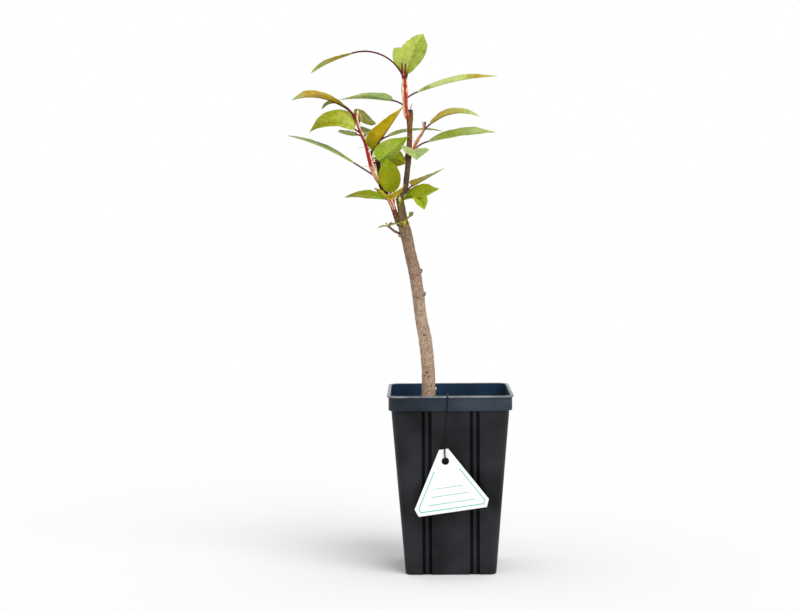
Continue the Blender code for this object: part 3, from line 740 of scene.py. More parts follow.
def add_bud(skin, base, way, length, radius, tint, kind="stem"):
    """A small pointed bud with a waist at its foot."""
    way = way.normalized()
    side = way.orthogonal().normalized()
    across = way.cross(side)
    rings = []
    for place, share in ((0.0, 0.7), (0.2, 0.95), (0.4, 1.0), (0.65, 0.75), (0.85, 0.4), (1.0, 0.08)):
        turns = [math.tau * k / 10 for k in range(10)]
        reach = radius * share
        rings.append(
            [base + way * length * place + (side * math.cos(a) + across * math.sin(a)) * reach for a in turns]
        )
    skin.add_loft(rings, lambda n, k, middle: finish(kind, tint, shade=min(2, n // 2)))


def blade_half_width(place, belly):
    """Half the blade's width as a share of its greatest, from foot to tip."""
    foot_power = BLADE_POWER * belly
    tip_power = BLADE_POWER * (1.0 - belly)
    swell = place**foot_power * (1.0 - place) ** tip_power
    return swell / (belly**foot_power * (1.0 - belly) ** tip_power)


def leaf_frames(leaf, foot, stalk_steps, blade_steps):
    """The centre, side and normal at each step up the stalk and then along the blade."""
    heading = math.radians(leaf.heading)
    forward = Vector((math.cos(heading), math.sin(heading), 0.0))
    level_side = Vector((-math.sin(heading), math.cos(heading), 0.0))
    marks = [(i / stalk_steps, 0.0) for i in range(stalk_steps + 1)]
    marks += [(1.0, i / blade_steps) for i in range(1, blade_steps + 1)]
    frames = []
    centre = foot.copy()
    before = (0.0, 0.0)
    for mark in marks:
        middle_stalk = 0.5 * (mark[0] + before[0])
        middle_blade = 0.5 * (mark[1] + before[1])
        length = leaf.stalk * (mark[0] - before[0]) + leaf.length * (mark[1] - before[1])
        tilt = math.radians(leaf.rise - leaf.dip * middle_stalk - leaf.droop * middle_blade)
        centre = centre + (forward * math.cos(tilt) + UP * math.sin(tilt)) * length
        tilt = math.radians(leaf.rise - leaf.dip * mark[0] - leaf.droop * mark[1])
        along = forward * math.cos(tilt) + UP * math.sin(tilt)
        turn = math.radians(leaf.roll + leaf.twist * mark[1]) * min(1.0, mark[0])
        side = Matrix.Rotation(turn, 3, along) @ level_side
        frames.append((centre.copy(), side, along.cross(side), mark[1]))
        before = mark
    return frames


def frame_at(frames, place):
    """The centre, side and normal at any place along the blade."""
    count = len(frames) - 1
    n = min(int(place * count), count - 1)
    share = place * count - n
    low, high = frames[n], frames[n + 1]
    return tuple(low[i].lerp(high[i], share) for i in range(3))


def add_stalk(skin, leaf, frames):
    """A round stalk with a swollen foot, which runs on as the rib under the blade."""
    rings = []
    for n, (centre, side, normal, place) in enumerate(frames):
        swell = 1.0 + 0.5 * max(0.0, 1.0 - n / 3.0)
        radius = LEAF_STALK_RADIUS * swell * (1.0 - 0.88 * place) * min(1.0, leaf.stalk / 4.0 + 0.5)
        sink = -0.75 * radius * min(1.0, 8.0 * place)
        turns = [math.tau * k / STALK_SIDES for k in range(STALK_SIDES)]
        rings.append([centre + side * radius * math.cos(a) + normal * (radius * math.sin(a) + sink) for a in turns])
    length = len(frames)

    def look(n, k, middle):
        if n < length - FRAME_STEPS:
            return finish("stem", leaf.petiole, shade=shade_at(middle, 2.0))
        return finish("stem", leaf.rib, shade=shade_at(middle, 2.0))

    skin.add_loft(rings[:-2], look)


def bitten(leaf, place, u):
    """The share of the half width that is left where a piece was eaten out of the edge."""
    if leaf.bite * u <= 0.0 or place < BITE_START:
        return 1.0
    entry = min(1.0, (place - BITE_START) / 0.05)
    fade = min(1.0, 4.0 * (1.0 - place))
    return 1.0 - 0.33 * entry * fade - 0.03 * entry * math.sin(place * 60.0) * fade


def blade_point(leaf, frames, row, rows, u, sweep, wave):
    """A point on the middle surface of the blade, its normal and its place."""
    start = row / rows
    size = abs(u)
    place = min(max(start + sweep * size**1.3 * start * (1.0 - start), 0.003), 0.997)
    centre, side, normal = frame_at(frames, place)
    half = 0.5 * leaf.width * blade_half_width(place, leaf.belly) * bitten(leaf, place, u)
    half *= 1.0 - DRIP_TIP * max(0.0, place - 0.72) / 0.28
    tooth = TOOTH * (row % 2) * size**10 if 0.05 < place < 0.95 else 0.0
    reach = half * size + tooth
    bend = math.radians(leaf.fold) * (1.12 - 0.35 * size)
    spread = min(1.0, half / 6.0)
    ripple = 0.22 * math.sin(place * 13.0 + wave + 1.5 * u) + 0.1 * math.sin(place * 29.0 - wave + 2.0 * u)
    phase = (row % ROWS_PER_VEIN) / ROWS_PER_VEIN
    quilt = QUILT * math.sin(math.pi * phase) * min(1.0, 4.0 * size) * (1.0 - 0.6 * size**3)
    groove = -RIB_GROOVE * max(0.0, 1.0 - size * 7.0)
    lift = reach * math.sin(bend) + spread * (ripple * size**2 + quilt + groove)
    return centre + side * math.copysign(reach, u) * math.cos(bend) + normal * lift, normal, place


def add_blade(skin, leaf, frames, rng, rows=VEINS * ROWS_PER_VEIN, columns=HALF_COLUMNS):
    """A thin quilted blade with a toothed edge, with both its faces."""
    sweep = min(MOST_SWEEP, VEIN_SWEEP * 2.0 * leaf.width / leaf.length)
    wave = rng.uniform(0.0, math.tau)
    across = [math.copysign(abs(k / columns) ** 0.9, k) for k in range(-columns, columns + 1)]
    tops, unders, places = [], [], []
    for row in range(rows + 1):
        points = [blade_point(leaf, frames, row, rows, u, sweep, wave) for u in across]
        top, under = [], []
        for u, (point, normal, _) in zip(across, points):
            thick = 0.5 * BLADE_THICKNESS * (1.0 - 0.6 * abs(u) ** 3)
            top.append(point + normal * thick)
            under.append(point - normal * thick)
        tops.append(skin.add_points(top))
        unders.append(skin.add_points(under))
        places.append([place for _, _, place in points])
    zones = [(n / max(1, len(leaf.tints) - 1), tint) for n, tint in enumerate(leaf.tints)]
    others = [(n / max(1, len(leaf.other) - 1), tint) for n, tint in enumerate(leaf.other)] or zones
    for row in range(rows):
        a, b, c, d = tops[row], tops[row + 1], unders[row], unders[row + 1]
        vein = row % ROWS_PER_VEIN == 0
        for k in range(2 * columns):
            u = 0.5 * (across[k] + across[k + 1])
            spot = skin.points[a[k]]
            upper = blade_finish(leaf, others if u < 0.0 else zones, places[row][k], u, spot, vein)
            lower = finish_along("leaf", zones, places[row][k], spot, 0.1)
            skin.add_face((a[k], b[k], b[k + 1], a[k + 1]), upper)
            skin.add_face((c[k], c[k + 1], d[k + 1], d[k]), lower)
        edge = finish("leaf", leaf.tints[-1], shade=0)
        skin.add_face((a[0], c[0], d[0], b[0]), edge)
        skin.add_face((a[-1], b[-1], d[-1], c[-1]), edge)
    for top, under in ((tops[0], unders[0]), (tops[-1], unders[-1])):
        for k in range(2 * columns):
            skin.add_face((top[k], top[k + 1], under[k + 1], under[k]), finish("leaf", leaf.tints[0]))


def blade_finish(leaf, zones, place, u, spot, vein):
    """The finish of one face on a blade's upper side."""
    if abs(u) < 0.055 and place < 0.92:
        return finish("leaf", leaf.rib, shade=shade_at(spot))
    if leaf.spots and place > 0.35 and u * (leaf.bite or 1) < 0.1:
        if speckle(spot, 0.8, 7.0) + 0.5 * speckle(spot, 3.0, 8.0) > 1.0 - leaf.spots:
            return finish("leaf", "fleck", zones[0][1], 1, shade_at(spot))
    if vein and abs(u) < 0.9:
        nearest = min(zones, key=lambda zone: abs(zone[0] - place))[1]
        return finish("leaf", nearest, "pale", 1, shade_at(spot))
    if len(zones) == 1:
        return finish("leaf", zones[0][1], shade=shade_at(spot))
    return finish_along("leaf", zones, place, spot, 0.25)


def back_leaves(rule, seed):
    """Leaves on the far side of a shoot, spaced along it and varied by a seeded rule."""
    count, lowest, highest, heading, rise = rule
    rng = random.Random(seed)
    leaves = []
    for i in range(count):
        length = rng.uniform(*BACK_LENGTH)
        leaves.append(
            Leaf(
                height=lowest + (highest - lowest) * (i + 0.5) / count,
                heading=heading + rng.uniform(-BACK_SPREAD, BACK_SPREAD),
                rise=rise + rng.uniform(-BACK_SPREAD, BACK_SPREAD),
                stalk=rng.uniform(*BACK_STALK),
                dip=rng.uniform(0.0, 2.0 * BACK_SPREAD),
                length=length,
                width=length * BACK_SLIMNESS,
                belly=0.42,
                droop=rng.uniform(BACK_SPREAD, 3.0 * BACK_SPREAD),
                roll=rng.uniform(-BACK_SPREAD, BACK_SPREAD),
                twist=rng.uniform(-BACK_SPREAD, BACK_SPREAD),
                fold=2.0 * BACK_SPREAD,
                tints=("fresh", "bright", "fresh"),
                rib="light",
            )
        )
    return leaves


def build_foliage(node, stations, zones, streaks, leaves, scales, seed, extras=None):
    """The fine stem, stalks, buds and leaves that stand for one mass."""
    rng = random.Random(seed)
    stems, blades = Skin(), Skin()
    add_limb(stems, stations, "stem", zones, 32, 8, 0.12, streaks=streaks)
    for leaf in leaves:
        foot = point_at_height(stations, leaf.height)
        frames = leaf_frames(leaf, foot, STALK_STEPS, FRAME_STEPS)
        add_stalk(stems, leaf, frames)
        add_blade(blades, leaf, frames[STALK_STEPS:], rng)
        add_axil_bud(stems, stations, leaf, foot)
        if leaf.stalk > 5.0:
            add_glands(stems, frames[STALK_STEPS - 1])
    for scale in scales:
        turn = math.radians(scale.heading)
        out = Vector((math.cos(turn), math.sin(turn), 0.0))
        foot = point_at_height(stations, scale.height) + out * 0.9 * radius_at_height(stations, scale.height)
        frames = leaf_frames(scale, foot, STALK_STEPS, FRAME_STEPS)
        add_blade(stems, scale._replace(rib=scale.tints[0]), frames[STALK_STEPS:], rng, ROWS_PER_VEIN, 3)
    if extras:
        extras(stems)
    stems.build(node + "_stems", "foliage", node)
    blades.build(node + "_leaves", "foliage", node, 70.0)


def add_axil_bud(skin, stations, leaf, foot):
    """The small bud that sits in the angle between a leaf's stalk and the stem."""
    heading = math.radians(leaf.heading)
    out = Vector((math.cos(heading), math.sin(heading), 0.0))
    radius = radius_at_height(stations, leaf.height)
    base = foot + out * radius * 0.75 + UP * 0.9
    add_bud(skin, base, out * 0.6 + UP, 1.7, 0.6, "tan")


def add_glands(skin, frame_before_blade):
    """The pair of small glands at the top of a bird cherry's leaf stalk."""
    centre, side, normal, _ = frame_before_blade
    for way in (-1.0, 1.0):
        base = centre + side * way * 0.35
        add_bud(skin, base, side * way + normal * 0.5, 0.7, 0.32, "crimson")


def add_flower_stalks(skin):
    """Two short upright flower stalks at the top of the leading shoot."""
    for x, low, high, lean in STALKS:
        shift = (high - low) * math.tan(math.radians(lean))
        stations = (
            (x, -1.0, low, STALK_RADIUS),
            (x + 0.5 * shift, -1.4, 0.5 * (low + high), STALK_RADIUS * 0.95),
            (x + shift, -1.8, high, STALK_RADIUS * 0.8),
        )
        add_limb(skin, stations, "stem", ((low, "crimson"), (high, "maroon")), 12, 8, 0.08)


def build_limb(node, stations, zones, marks, sides, steps, relief, ends=(None, None), buds=(), sprouts=()):
    """A limb with its bark's relief, pores and old and new buds, in place of the plain one."""
    skin = Skin()
    # On the left bough, a dark stripe down its left side, turned away from the key light, is painted shade
    streaks = ((175, 45, "bark_dark"),) if node == "left_bough" else ()
    add_limb(skin, stations, "bark", zones, sides, steps, relief, marks, streaks, ends)
    for height, heading, size in buds:
        turn = math.radians(heading)
        out = Vector((math.cos(turn), math.sin(turn), 0.0))
        base = point_at_height(stations, height) + out * (radius_at_height(stations, height) - 0.8)
        add_bud(skin, base - UP, out + UP * 0.35, 2.6, size, "bark_high", "bark")
        add_bud(skin, base + out * 0.9, out * 0.8 + UP, 1.8, size * 0.45, "bark_dark", "bark")
    for height, heading, length, tint in sprouts:
        turn = math.radians(heading)
        out = Vector((math.cos(turn), math.sin(turn), 0.0))
        base = point_at_height(stations, height) + out * (radius_at_height(stations, height) - 0.4)
        add_bud(skin, base, out * 0.5 + UP, length, 0.3 * length, tint)
    skin.build(node + "_bark", "bark", node)


def build_plant():
    """The woody limbs and the leafy shoots."""
    pores = scatter_marks(TRUNK, 150, 0.75, 0.12, "lenticel", 11) + list(TRUNK_SCARS)
    trunk_ends = (TRUNK[0][2], TRUNK[-1][2])
    build_limb("trunk", TRUNK, TRUNK_LOOK, pores, 72, 24, 0.4, trunk_ends, TRUNK_BUDS, TRUNK_SPROUTS)
    dots = scatter_marks(LEADER, 26, 0.35, 0.1, "dot", 12)
    build_limb("leader", LEADER, LEADER_LOOK, dots, 44, 16, 0.3, sprouts=LEADER_SPROUTS)
    dots = scatter_marks(LEFT_BOUGH, 16, 0.35, 0.1, "dot", 13)
    build_limb("left_bough", LEFT_BOUGH, BOUGH_LOOK, dots, 44, 16, 0.3)
    top_leaves = (*TOP_LEAVES, *back_leaves(TOP_BACK, 1))
    left_leaves = (*LEFT_LEAVES, *back_leaves(LEFT_BACK, 2))
    right_leaves = (*RIGHT_LEAVES, *back_leaves(RIGHT_BACK, 3))
    build_foliage("top_shoot", TOP_SHOOT, TOP_LOOK, TOP_STREAKS, top_leaves, TOP_SCALES, 1, add_flower_stalks)
    build_foliage("left_shoot", LEFT_SHOOT, LEFT_LOOK, LEFT_STREAKS, left_leaves, LEFT_SCALES, 2)
    build_foliage("right_shoot", RIGHT_SHOOT, RIGHT_LOOK, RIGHT_STREAKS, right_leaves, RIGHT_SCALES, 3)
    build_foliage("spur_rosette", SPUR, SPUR_LOOK, SPUR_STREAKS, SPUR_LEAVES, SPUR_SCALES, 4)
    build_foliage("fork_shoot", FORK_SHOOT, FORK_LOOK, (), FORK_LEAVES, FORK_SCALES, 5)
    build_foliage("low_left_sprout", LOW_LEFT, LOW_LEFT_LOOK, (), LOW_LEFT_LEAVES, LOW_LEFT_SCALES, 6)
    build_foliage("low_right_sprout", LOW_RIGHT, LOW_RIGHT_LOOK, (), LOW_RIGHT_LEAVES, LOW_RIGHT_SCALES, 7)


def face_profile(half, corner, depth):
    """Points along one side of a square ring: the corner's arc, then two grooves."""
    centre = half - corner
    turns = [math.radians(180.0 + 90.0 * i / CORNER_STEPS) for i in range(CORNER_STEPS + 1)]
    points = [(-centre + corner * math.cos(a), -centre + corner * math.sin(a)) for a in turns]
    for middle in (-GROOVE_PLACE, GROOVE_PLACE):
        points += [(middle - wide * GROOVE_HALF, -half + deep * depth) for wide, deep in GROOVE_SECTION]
        points += [(middle + wide * GROOVE_HALF, -half + deep * depth) for wide, deep in GROOVE_SECTION[::-1]]
    return points


def square_ring(half, corner, z, depth=0.0, sag=0.0):
    """A rounded square at height z; sag draws the middle of each side in a little."""
    ring = []
    for quarter in range(4):
        turn = Matrix.Rotation(math.radians(90.0 * quarter), 3, "Z")
        for x, y in face_profile(half, corner, depth):
            inward = sag * max(0.0, 1.0 - (x / half) ** 2) if y < -half + corner else 0.0
            ring.append(turn @ Vector((x, y + inward, z)))
    return ring


def body_half(z):
    """Half the width of the tapering body at height z."""
    return BASE_HALF + (BODY_TOP_HALF - BASE_HALF) * z / COLLAR_BOTTOM


def pot_rings():
    """The outside of the pot from its underside to the top of its lip, and then the inside."""
    outer = [
        square_ring(BASE_HALF - 1.0, CORNER_BASE - 1.0, 0.0, GROOVE_DEPTH),
        square_ring(BASE_HALF - 0.4, CORNER_BASE - 0.5, 0.15, GROOVE_DEPTH),
        square_ring(BASE_HALF - 0.05, CORNER_BASE, 0.6, GROOVE_DEPTH),
    ]
    for i in range(BODY_ROWS):
        share = i / (BODY_ROWS - 1)
        z = 1.4 + (COLLAR_BOTTOM - 2.0) * share
        corner = CORNER_BASE + (CORNER_TOP - CORNER_BASE) * share
        sag = PANEL_SAG * math.sin(math.pi * share)
        outer.append(square_ring(body_half(z), corner, z, GROOVE_DEPTH, sag))
    lip = POT_HEIGHT - LIP_THICKNESS
    for inset, z in ((0.95, 119.0), (0.35, 119.05), (0.08, 119.3), (0.0, 119.8), (0.0, 124.0), (0.0, lip - 0.5)):
        outer.append(square_ring(COLLAR_HALF - inset, CORNER_TOP, z))
    for inset, z in ((0.85, -0.12), (0.3, 0.0), (0.05, 0.25), (0.0, 0.6), (0.12, 1.1), (0.4, 1.4), (0.8, 1.5)):
        outer.append(square_ring(RIM_HALF - inset, CORNER_TOP, lip + z))
    hollow = COLLAR_HALF - POT_WALL
    corner = CORNER_TOP - POT_WALL
    inner = [
        square_ring(RIM_HALF - 1.6, CORNER_TOP - 0.9, POT_HEIGHT - 0.06),
        square_ring(hollow + 0.15, corner + 0.2, POT_HEIGHT - 0.35),
        square_ring(hollow, corner, POT_HEIGHT - 0.9),
        square_ring(hollow - 0.2, corner, COLLAR_BOTTOM + 1.0),
        square_ring(hollow - 0.4, corner, COLLAR_BOTTOM + 0.2),
    ]
    low_corner = CORNER_BASE - POT_WALL
    for z, depth in ((COLLAR_BOTTOM - 0.4, 0.8), (COLLAR_BOTTOM - 1.2, GROOVE_DEPTH), (60.0, GROOVE_DEPTH)):
        inner.append(square_ring(body_half(z) - POT_WALL, corner, z, depth))
    inner.append(square_ring(body_half(FLOOR) - POT_WALL, low_corner, FLOOR, GROOVE_DEPTH))
    return outer, inner


def in_groove(middle):
    """Whether a face of the body lies in one of its grooves, but not on the groove's rib; these faces take the
    near-black painted shade.
    """
    across = min(abs(middle.x), abs(middle.y))
    away = abs(across - GROOVE_PLACE) / GROOVE_HALF
    return 0.4 < away < 1.0


def plastic(name, colour, roughness, shine=0.2):
    """Moulded plastic with faint cloudy patches and a fine grain."""
    made = new_material(name, colour, roughness, Specular_IOR_Level=shine)
    add_mottle(made, 26.0, scaled(colour, 0.35), mixed(scaled(colour, 2.2), (0.02, 0.02, 0.019), 0.3), 10.0)
    add_bump(made, 1600.0, 0.12, 0.0002)
    return made


def build_pot():
    """The pot with rounded lip and corners, its drain holes cut by one Boolean."""
    shell = plastic("pot_shell", (0.0120, 0.0134, 0.0162), 0.44, 0.12)
    collar = plastic("pot_collar", (0.021, 0.029, 0.043), 0.42, 0.12)
    # Near-black painted shade on the groove faces, standing in for the shade in those recesses
    groove = plastic("pot_groove_painted_shade", (0.0010, 0.0015, 0.0022), 0.6, 0.03)
    # Light grey painted highlight over the lip's bead and top, standing in for the bright line of light along the rim;
    # the mottle varies this painted highlight
    edge = new_material("pot_lip_painted_highlight", (0.185, 0.196, 0.212), 0.3, Specular_IOR_Level=0.2)
    add_mottle(edge, 90.0, (0.11, 0.117, 0.128), (0.25, 0.26, 0.28), 6.0)
    # Dark plastic whose navy blue is a painted reflection of bluish light
    inside = plastic("pot_inside_painted_reflection", (0.003, 0.022, 0.052), 0.5, 0.12)
    outer, inner = pot_rings()
    side = len(outer[0]) // 4
    grooves = range(CORNER_STEPS + 1, side)
    collar_start = BODY_ROWS + 3
    lip_start = len(outer) - 5

    def look(n, k, middle):
        # The inner faces take the painted blue reflection
        if n >= len(outer) + 1:
            return inside
        # The lip's rings take the painted highlight
        if n >= lip_start:
            return edge
        if n >= collar_start:
            return collar
        return groove if k % side in grooves and in_groove(middle) else shell

    skin = Skin()
    skin.add_loft(outer + inner, look)
    pot = skin.build("pot_body", "pot", "pot", 38.0)
    drills = Skin()
    for i in range(DRAIN_COUNT):
        turn = math.tau * i / DRAIN_COUNT
        reach = DRAIN_RING * (1.2 if i % 2 else 1.0)
        centre = Vector((math.cos(turn), math.sin(turn), 0.0)) * reach
        rings = []
        for z in (-FLOOR, 2.0 * FLOOR):
            turns = [math.tau * k / 32 for k in range(32)]
            rings.append([centre + Vector((math.cos(a) * DRAIN_RADIUS, math.sin(a) * DRAIN_RADIUS, z)) for a in turns])
        drills.add_loft(rings, lambda n, k, middle: shell)
    cut_out(pot, drills)


def cut_out(piece, skin):
    """Cuts a skin's solids out of a piece with one Boolean, and drops the cutter."""
    mesh = bpy.data.meshes.new("cutter")
    mesh.from_pydata([point * MM for point in skin.points], [], skin.faces)
    cutter = bpy.data.objects.new("cutter", mesh)
    bpy.context.scene.collection.objects.link(cutter)
    bm = bmesh.new()
    bm.from_mesh(mesh)
    bmesh.ops.recalc_face_normals(bm, faces=bm.faces)
    bm.to_mesh(mesh)
    bm.free()
    step = piece.modifiers.new("cut", "BOOLEAN")
    step.operation = "DIFFERENCE"
    step.solver = "EXACT"
    step.object = cutter
    view = bpy.context.evaluated_depsgraph_get()
    made = bpy.data.meshes.new_from_object(piece.evaluated_get(view))
    piece.modifiers.clear()
    piece.data = made
    bpy.data.objects.remove(cutter, do_unlink=True)


def soil_height(x, y):
    """The uneven top of the soil, a little higher round the trunk."""
    spot = Vector((x, y, 0.0))
    lumps = 1.1 * noise.noise(spot / 9.0) + 0.7 * noise.noise(spot / 3.5) + 0.35 * noise.noise(spot / 1.4)
    mound = 1.6 * math.exp(-((x - TRUNK[0][0]) ** 2 + (y - TRUNK[0][1]) ** 2) / 160.0)
    return SOIL_TOP - 0.6 + lumps + mound


def earth_material(name, colour, size):
    """Crumbly earth with dark and light grains."""
    made = new_material(name, colour, 0.95, Specular_IOR_Level=0.2)
    add_mottle(made, size, scaled(colour, 0.45), scaled(colour, 1.7), 8.0)
    add_bump(made, 1200.0, 0.8, 0.0006, 6.0)
    return made


def build_soil():
    """The filling of the pot with its uneven top, strewn with crumbs and grit."""
    earth = earth_material("soil_earth", (0.030, 0.019, 0.012), 320.0)
    low = FLOOR + SOIL_GAP
    depth = GROOVE_DEPTH + SOIL_GAP
    edge = SOIL_TOP - 1.5
    corner = CORNER_TOP - POT_WALL
    rings = [
        square_ring(body_half(low) - POT_WALL - SOIL_GAP, CORNER_BASE - POT_WALL, low, depth),
        square_ring(body_half(edge) - POT_WALL - SOIL_GAP, corner, edge, depth),
    ]
    outline = square_ring(body_half(SOIL_TOP) - POT_WALL - 0.8, corner, SOIL_TOP, depth)
    for i in range(SOIL_RINGS):
        share = 1.0 - i / SOIL_RINGS
        ring = [Vector((point.x * share, point.y * share, 0.0)) for point in outline]
        for point in ring:
            point.z = soil_height(point.x, point.y)
        rings.append(ring)
    skin = Skin()
    skin.add_loft(rings, lambda n, k, middle: earth)
    skin.build("soil_fill", "soil", "soil", 80.0)
    shades = ((0.022, 0.013, 0.008), (0.045, 0.028, 0.016), (0.085, 0.055, 0.032))
    browns = [earth_material(f"crumb_{i}", shade, 500.0) for i, shade in enumerate(shades)]
    scatter_lumps("soil_crumbs", CRUMBS, (0.5, 1.7), browns, 21)
    pales = [earth_material("grit_white", (0.62, 0.60, 0.55), 500.0)]
    scatter_lumps("soil_grit", GRITS, (0.5, 1.1), pales, 22)


def scatter_lumps(name, count, sizes, materials, seed):
    """Rough little lumps strewn over the soil by a seeded rule."""
    rng = random.Random(seed)
    skin = Skin()
    reach = body_half(SOIL_TOP) - POT_WALL - 4.0
    trunk = Vector(TRUNK[0][:2])
    while count:
        x, y = rng.uniform(-reach, reach), rng.uniform(-reach, reach)
        if (Vector((x, y)) - trunk).length < TRUNK[0][3] + 1.0:
            continue
        count -= 1
        size = rng.uniform(*sizes) * rng.uniform(0.6, 1.0)
        squash = Vector((rng.uniform(0.7, 1.3), rng.uniform(0.7, 1.3), rng.uniform(0.5, 0.9))) * size
        spin = Matrix.Rotation(rng.uniform(0.0, math.tau), 3, "Z") @ Matrix.Rotation(rng.uniform(-0.5, 0.5), 3, "X")
        centre = Vector((x, y, soil_height(x, y) + 0.25 * size))
        material = rng.choice(materials)
        bm = bmesh.new()
        bmesh.ops.create_icosphere(bm, subdivisions=1, radius=1.0)
        for vert in bm.verts:
            bump = 1.0 + 0.35 * noise.noise(vert.co * 1.7 + centre)
            vert.co = centre + spin @ (vert.co * squash * bump)
        points = skin.add_points([vert.co.copy() for vert in bm.verts])
        for face in bm.faces:
            skin.add_face([points[vert.index] for vert in face.verts], material)
        bm.free()
    skin.build(name, "soil", None, 25.0)


def tag_outline():
    """The tag's outline about its hole, before it is turned."""
    low = TAG_HOLE_DROP - TAG_HEIGHT
    return [
        Vector((-0.5 * TAG_TOP_WIDTH, TAG_HOLE_DROP)),
        Vector((0.5 * TAG_TOP_WIDTH, TAG_HOLE_DROP)),
        Vector((TAG_HALF_WIDTH, low + TAG_CORNER)),
        Vector((TAG_HALF_WIDTH - 0.4 * TAG_CORNER, low)),
        Vector((-TAG_HALF_WIDTH + 0.4 * TAG_CORNER, low)),
        Vector((-TAG_HALF_WIDTH, low + TAG_CORNER)),
    ]


def inset_outline(points, inset):
    """An outline moved inwards by the same distance all round."""
    count = len(points)
    made = []
    for i in range(count):
        back = (points[i] - points[i - 1]).normalized()
        ahead = (points[(i + 1) % count] - points[i]).normalized()
        inward = Vector((back.y, -back.x))
        other = Vector((ahead.y, -ahead.x))
        made.append(points[i] + (inward + other) * inset / (1.0 + inward.dot(other)))
    return made


def on_tag(point, lift):
    """A point of the tag's own plane, a little in front of its face."""
    turned = Matrix.Rotation(math.radians(-TAG_TURN), 2) @ point
    x, y, z = TAG_HOLE_PLACE
    return Vector((x + turned.x, y - 0.5 * TAG_THICKNESS - lift, z + turned.y))


def add_print(skin, strip, material):
    """A thin closed strip of print between two rows of points."""
    count = len(strip)
    front = skin.add_points([on_tag(point, PRINT_LIFT) for pair in strip for point in pair])
    back = skin.add_points([on_tag(point, 0.0) for pair in strip for point in pair])
    for i in range(0, 2 * count - 2, 2):
        skin.add_face((front[i], front[i + 1], front[i + 3], front[i + 2]), material)
        skin.add_face((back[i], back[i + 2], back[i + 3], back[i + 1]), material)
        skin.add_face((front[i], front[i + 2], back[i + 2], back[i]), material)
        skin.add_face((front[i + 1], back[i + 1], back[i + 3], front[i + 3]), material)
    for i in (0, 2 * count - 2):
        skin.add_face((front[i], back[i], back[i + 1], front[i + 1]), material)


def build_tag():
    """The tag's white plastic, with a plain border and blank ruled lines."""
    card = new_material("tag_card", (0.88, 0.88, 0.87), 0.32)
    add_mottle(card, 60.0, (0.84, 0.84, 0.83), (0.92, 0.92, 0.915), 3.0)
    add_bump(card, 900.0, 0.05, 0.0002)
    set_material("tag", card)
    ink = new_material("tag_ink", (0.012, 0.50, 0.38), 0.4)
    add_mottle(ink, 700.0, (0.010, 0.44, 0.33), (0.016, 0.57, 0.44), 3.0)
    skin = Skin()
    outline = tag_outline()
    low = outline[3].y
    slope = (TAG_HALF_WIDTH - 0.5 * TAG_TOP_WIDTH) / (TAG_HOLE_DROP - low - TAG_CORNER)
    outer = inset_outline(outline, BORDER_INSET)
    inner = inset_outline(outline, BORDER_INSET + BORDER_WIDTH)
    for i in range(2, len(outline) - 1):
        add_print(skin, [(outer[i], inner[i]), (outer[i + 1], inner[i + 1])], ink)
    for top, foot in ((1, 2), (0, 5)):
        share = (BORDER_TOP - outline[foot].y) / (outline[top].y - outline[foot].y)
        strip = [(line[foot], line[foot].lerp(line[top], share)) for line in (outer, inner)]
        add_print(skin, [(strip[0][0], strip[1][0]), (strip[0][1], strip[1][1])], ink)
    for height in RULE_HEIGHTS:
        half = 0.5 * TAG_TOP_WIDTH + (TAG_HOLE_DROP - height) * slope - 9.0
        strip = [(Vector((x, height)), Vector((x, height - 0.4))) for x in (-half, half)]
        add_print(skin, strip, ink)
    skin.build("tag_print", "tag")


def set_material(node, material):
    """Gives a carried-over node its finish."""
    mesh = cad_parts[node].data
    mesh.materials.clear()
    mesh.materials.append(material)


def build_camera():
    camera = bpy.data.cameras.new("camera")
    camera.lens = CAMERA_LENS
    camera.sensor_width = 36.0
    camera.clip_end = 50.0
    holder = bpy.data.objects.new("camera", camera)
    bpy.context.scene.collection.objects.link(holder)
    turn = Matrix.Rotation(math.radians(CAMERA_LEFT), 4, "Z")
    tilt = Matrix.Rotation(math.radians(90.0 - CAMERA_DOWN), 4, "X")
    roll = Matrix.Rotation(math.radians(CAMERA_ROLL), 4, "Z")
    holder.matrix_world = Matrix.Translation(Vector(CAMERA_PLACE) * MM) @ turn @ tilt @ roll
    bpy.context.scene.camera = holder


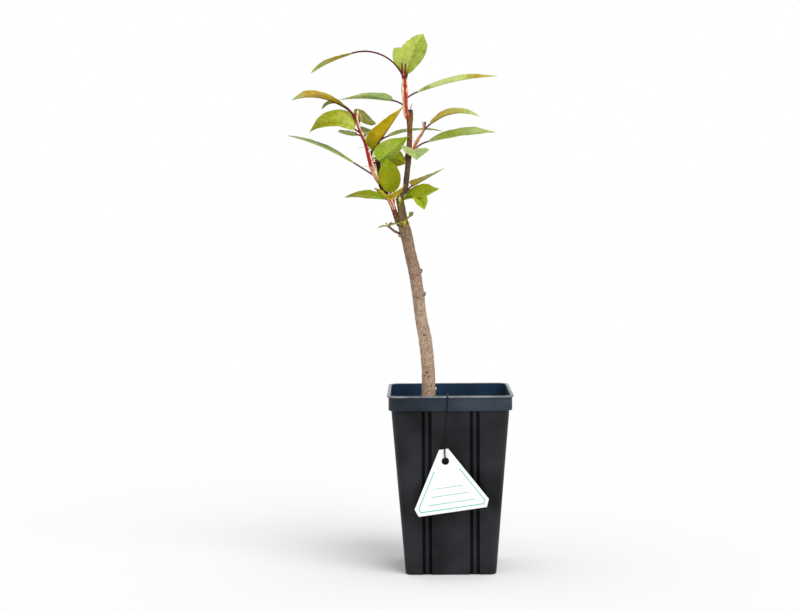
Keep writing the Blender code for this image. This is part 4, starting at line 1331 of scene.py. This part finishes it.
def build_stage():
    """A white floor and an even white light, with a soft key light from the upper right."""
    mesh = bpy.data.meshes.new("floor")
    reach = 20.0
    corners = [(-reach, -reach, 0.0), (reach, -reach, 0.0), (reach, reach, 0.0), (-reach, reach, 0.0)]
    mesh.from_pydata(corners, [], [(0, 1, 2, 3)])
    mesh.materials.append(new_material("floor_white", (0.97, 0.97, 0.97), 0.9, Specular_IOR_Level=0.1))
    floor = bpy.data.objects.new("floor", mesh)
    bpy.context.scene.collection.objects.link(floor)
    build_world()
    light = bpy.data.lights.new("key", "SUN")
    light.energy = SUN_STRENGTH
    light.angle = math.radians(SUN_SPREAD)
    holder = bpy.data.objects.new("key", light)
    bpy.context.scene.collection.objects.link(holder)
    holder.rotation_euler = (-Vector(SUN_FROM)).to_track_quat("-Z", "Y").to_euler()
    bpy.context.scene.view_settings.view_transform = "Standard"


def build_world():
    """White light from near the horizon, dimmer from above, with the same look from every side."""
    world = bpy.data.worlds.new("studio")
    world.use_nodes = True
    nodes = world.node_tree.nodes
    links = world.node_tree.links
    place = nodes.new("ShaderNodeTexCoord")
    split = nodes.new("ShaderNodeSeparateXYZ")
    ramp = nodes.new("ShaderNodeValToRGB")
    ramp.color_ramp.elements[0].position = 0.3
    ramp.color_ramp.elements[0].color = (1.0, 1.0, 1.0, 1.0)
    ramp.color_ramp.elements[1].position = 0.75
    ramp.color_ramp.elements[1].color = (SKY_TOP, SKY_TOP, SKY_TOP, 1.0)
    links.new(place.outputs["Generated"], split.inputs["Vector"])
    links.new(split.outputs["Z"], ramp.inputs["Fac"])
    links.new(ramp.outputs["Color"], nodes["Background"].inputs["Color"])
    bpy.context.scene.world = world


def build_wire():
    """The wire's dark plastic coat."""
    coat = new_material("wire_coat", (0.003, 0.003, 0.004), 0.25, Specular_IOR_Level=0.25)
    add_mottle(coat, 300.0, (0.002, 0.002, 0.003), (0.006, 0.006, 0.007), 2.0)
    set_material("tag_wire", coat)


def main():
    build_camera()
    build_stage()
    build_pot()
    build_soil()
    build_tag()
    build_wire()
    build_plant()


main()
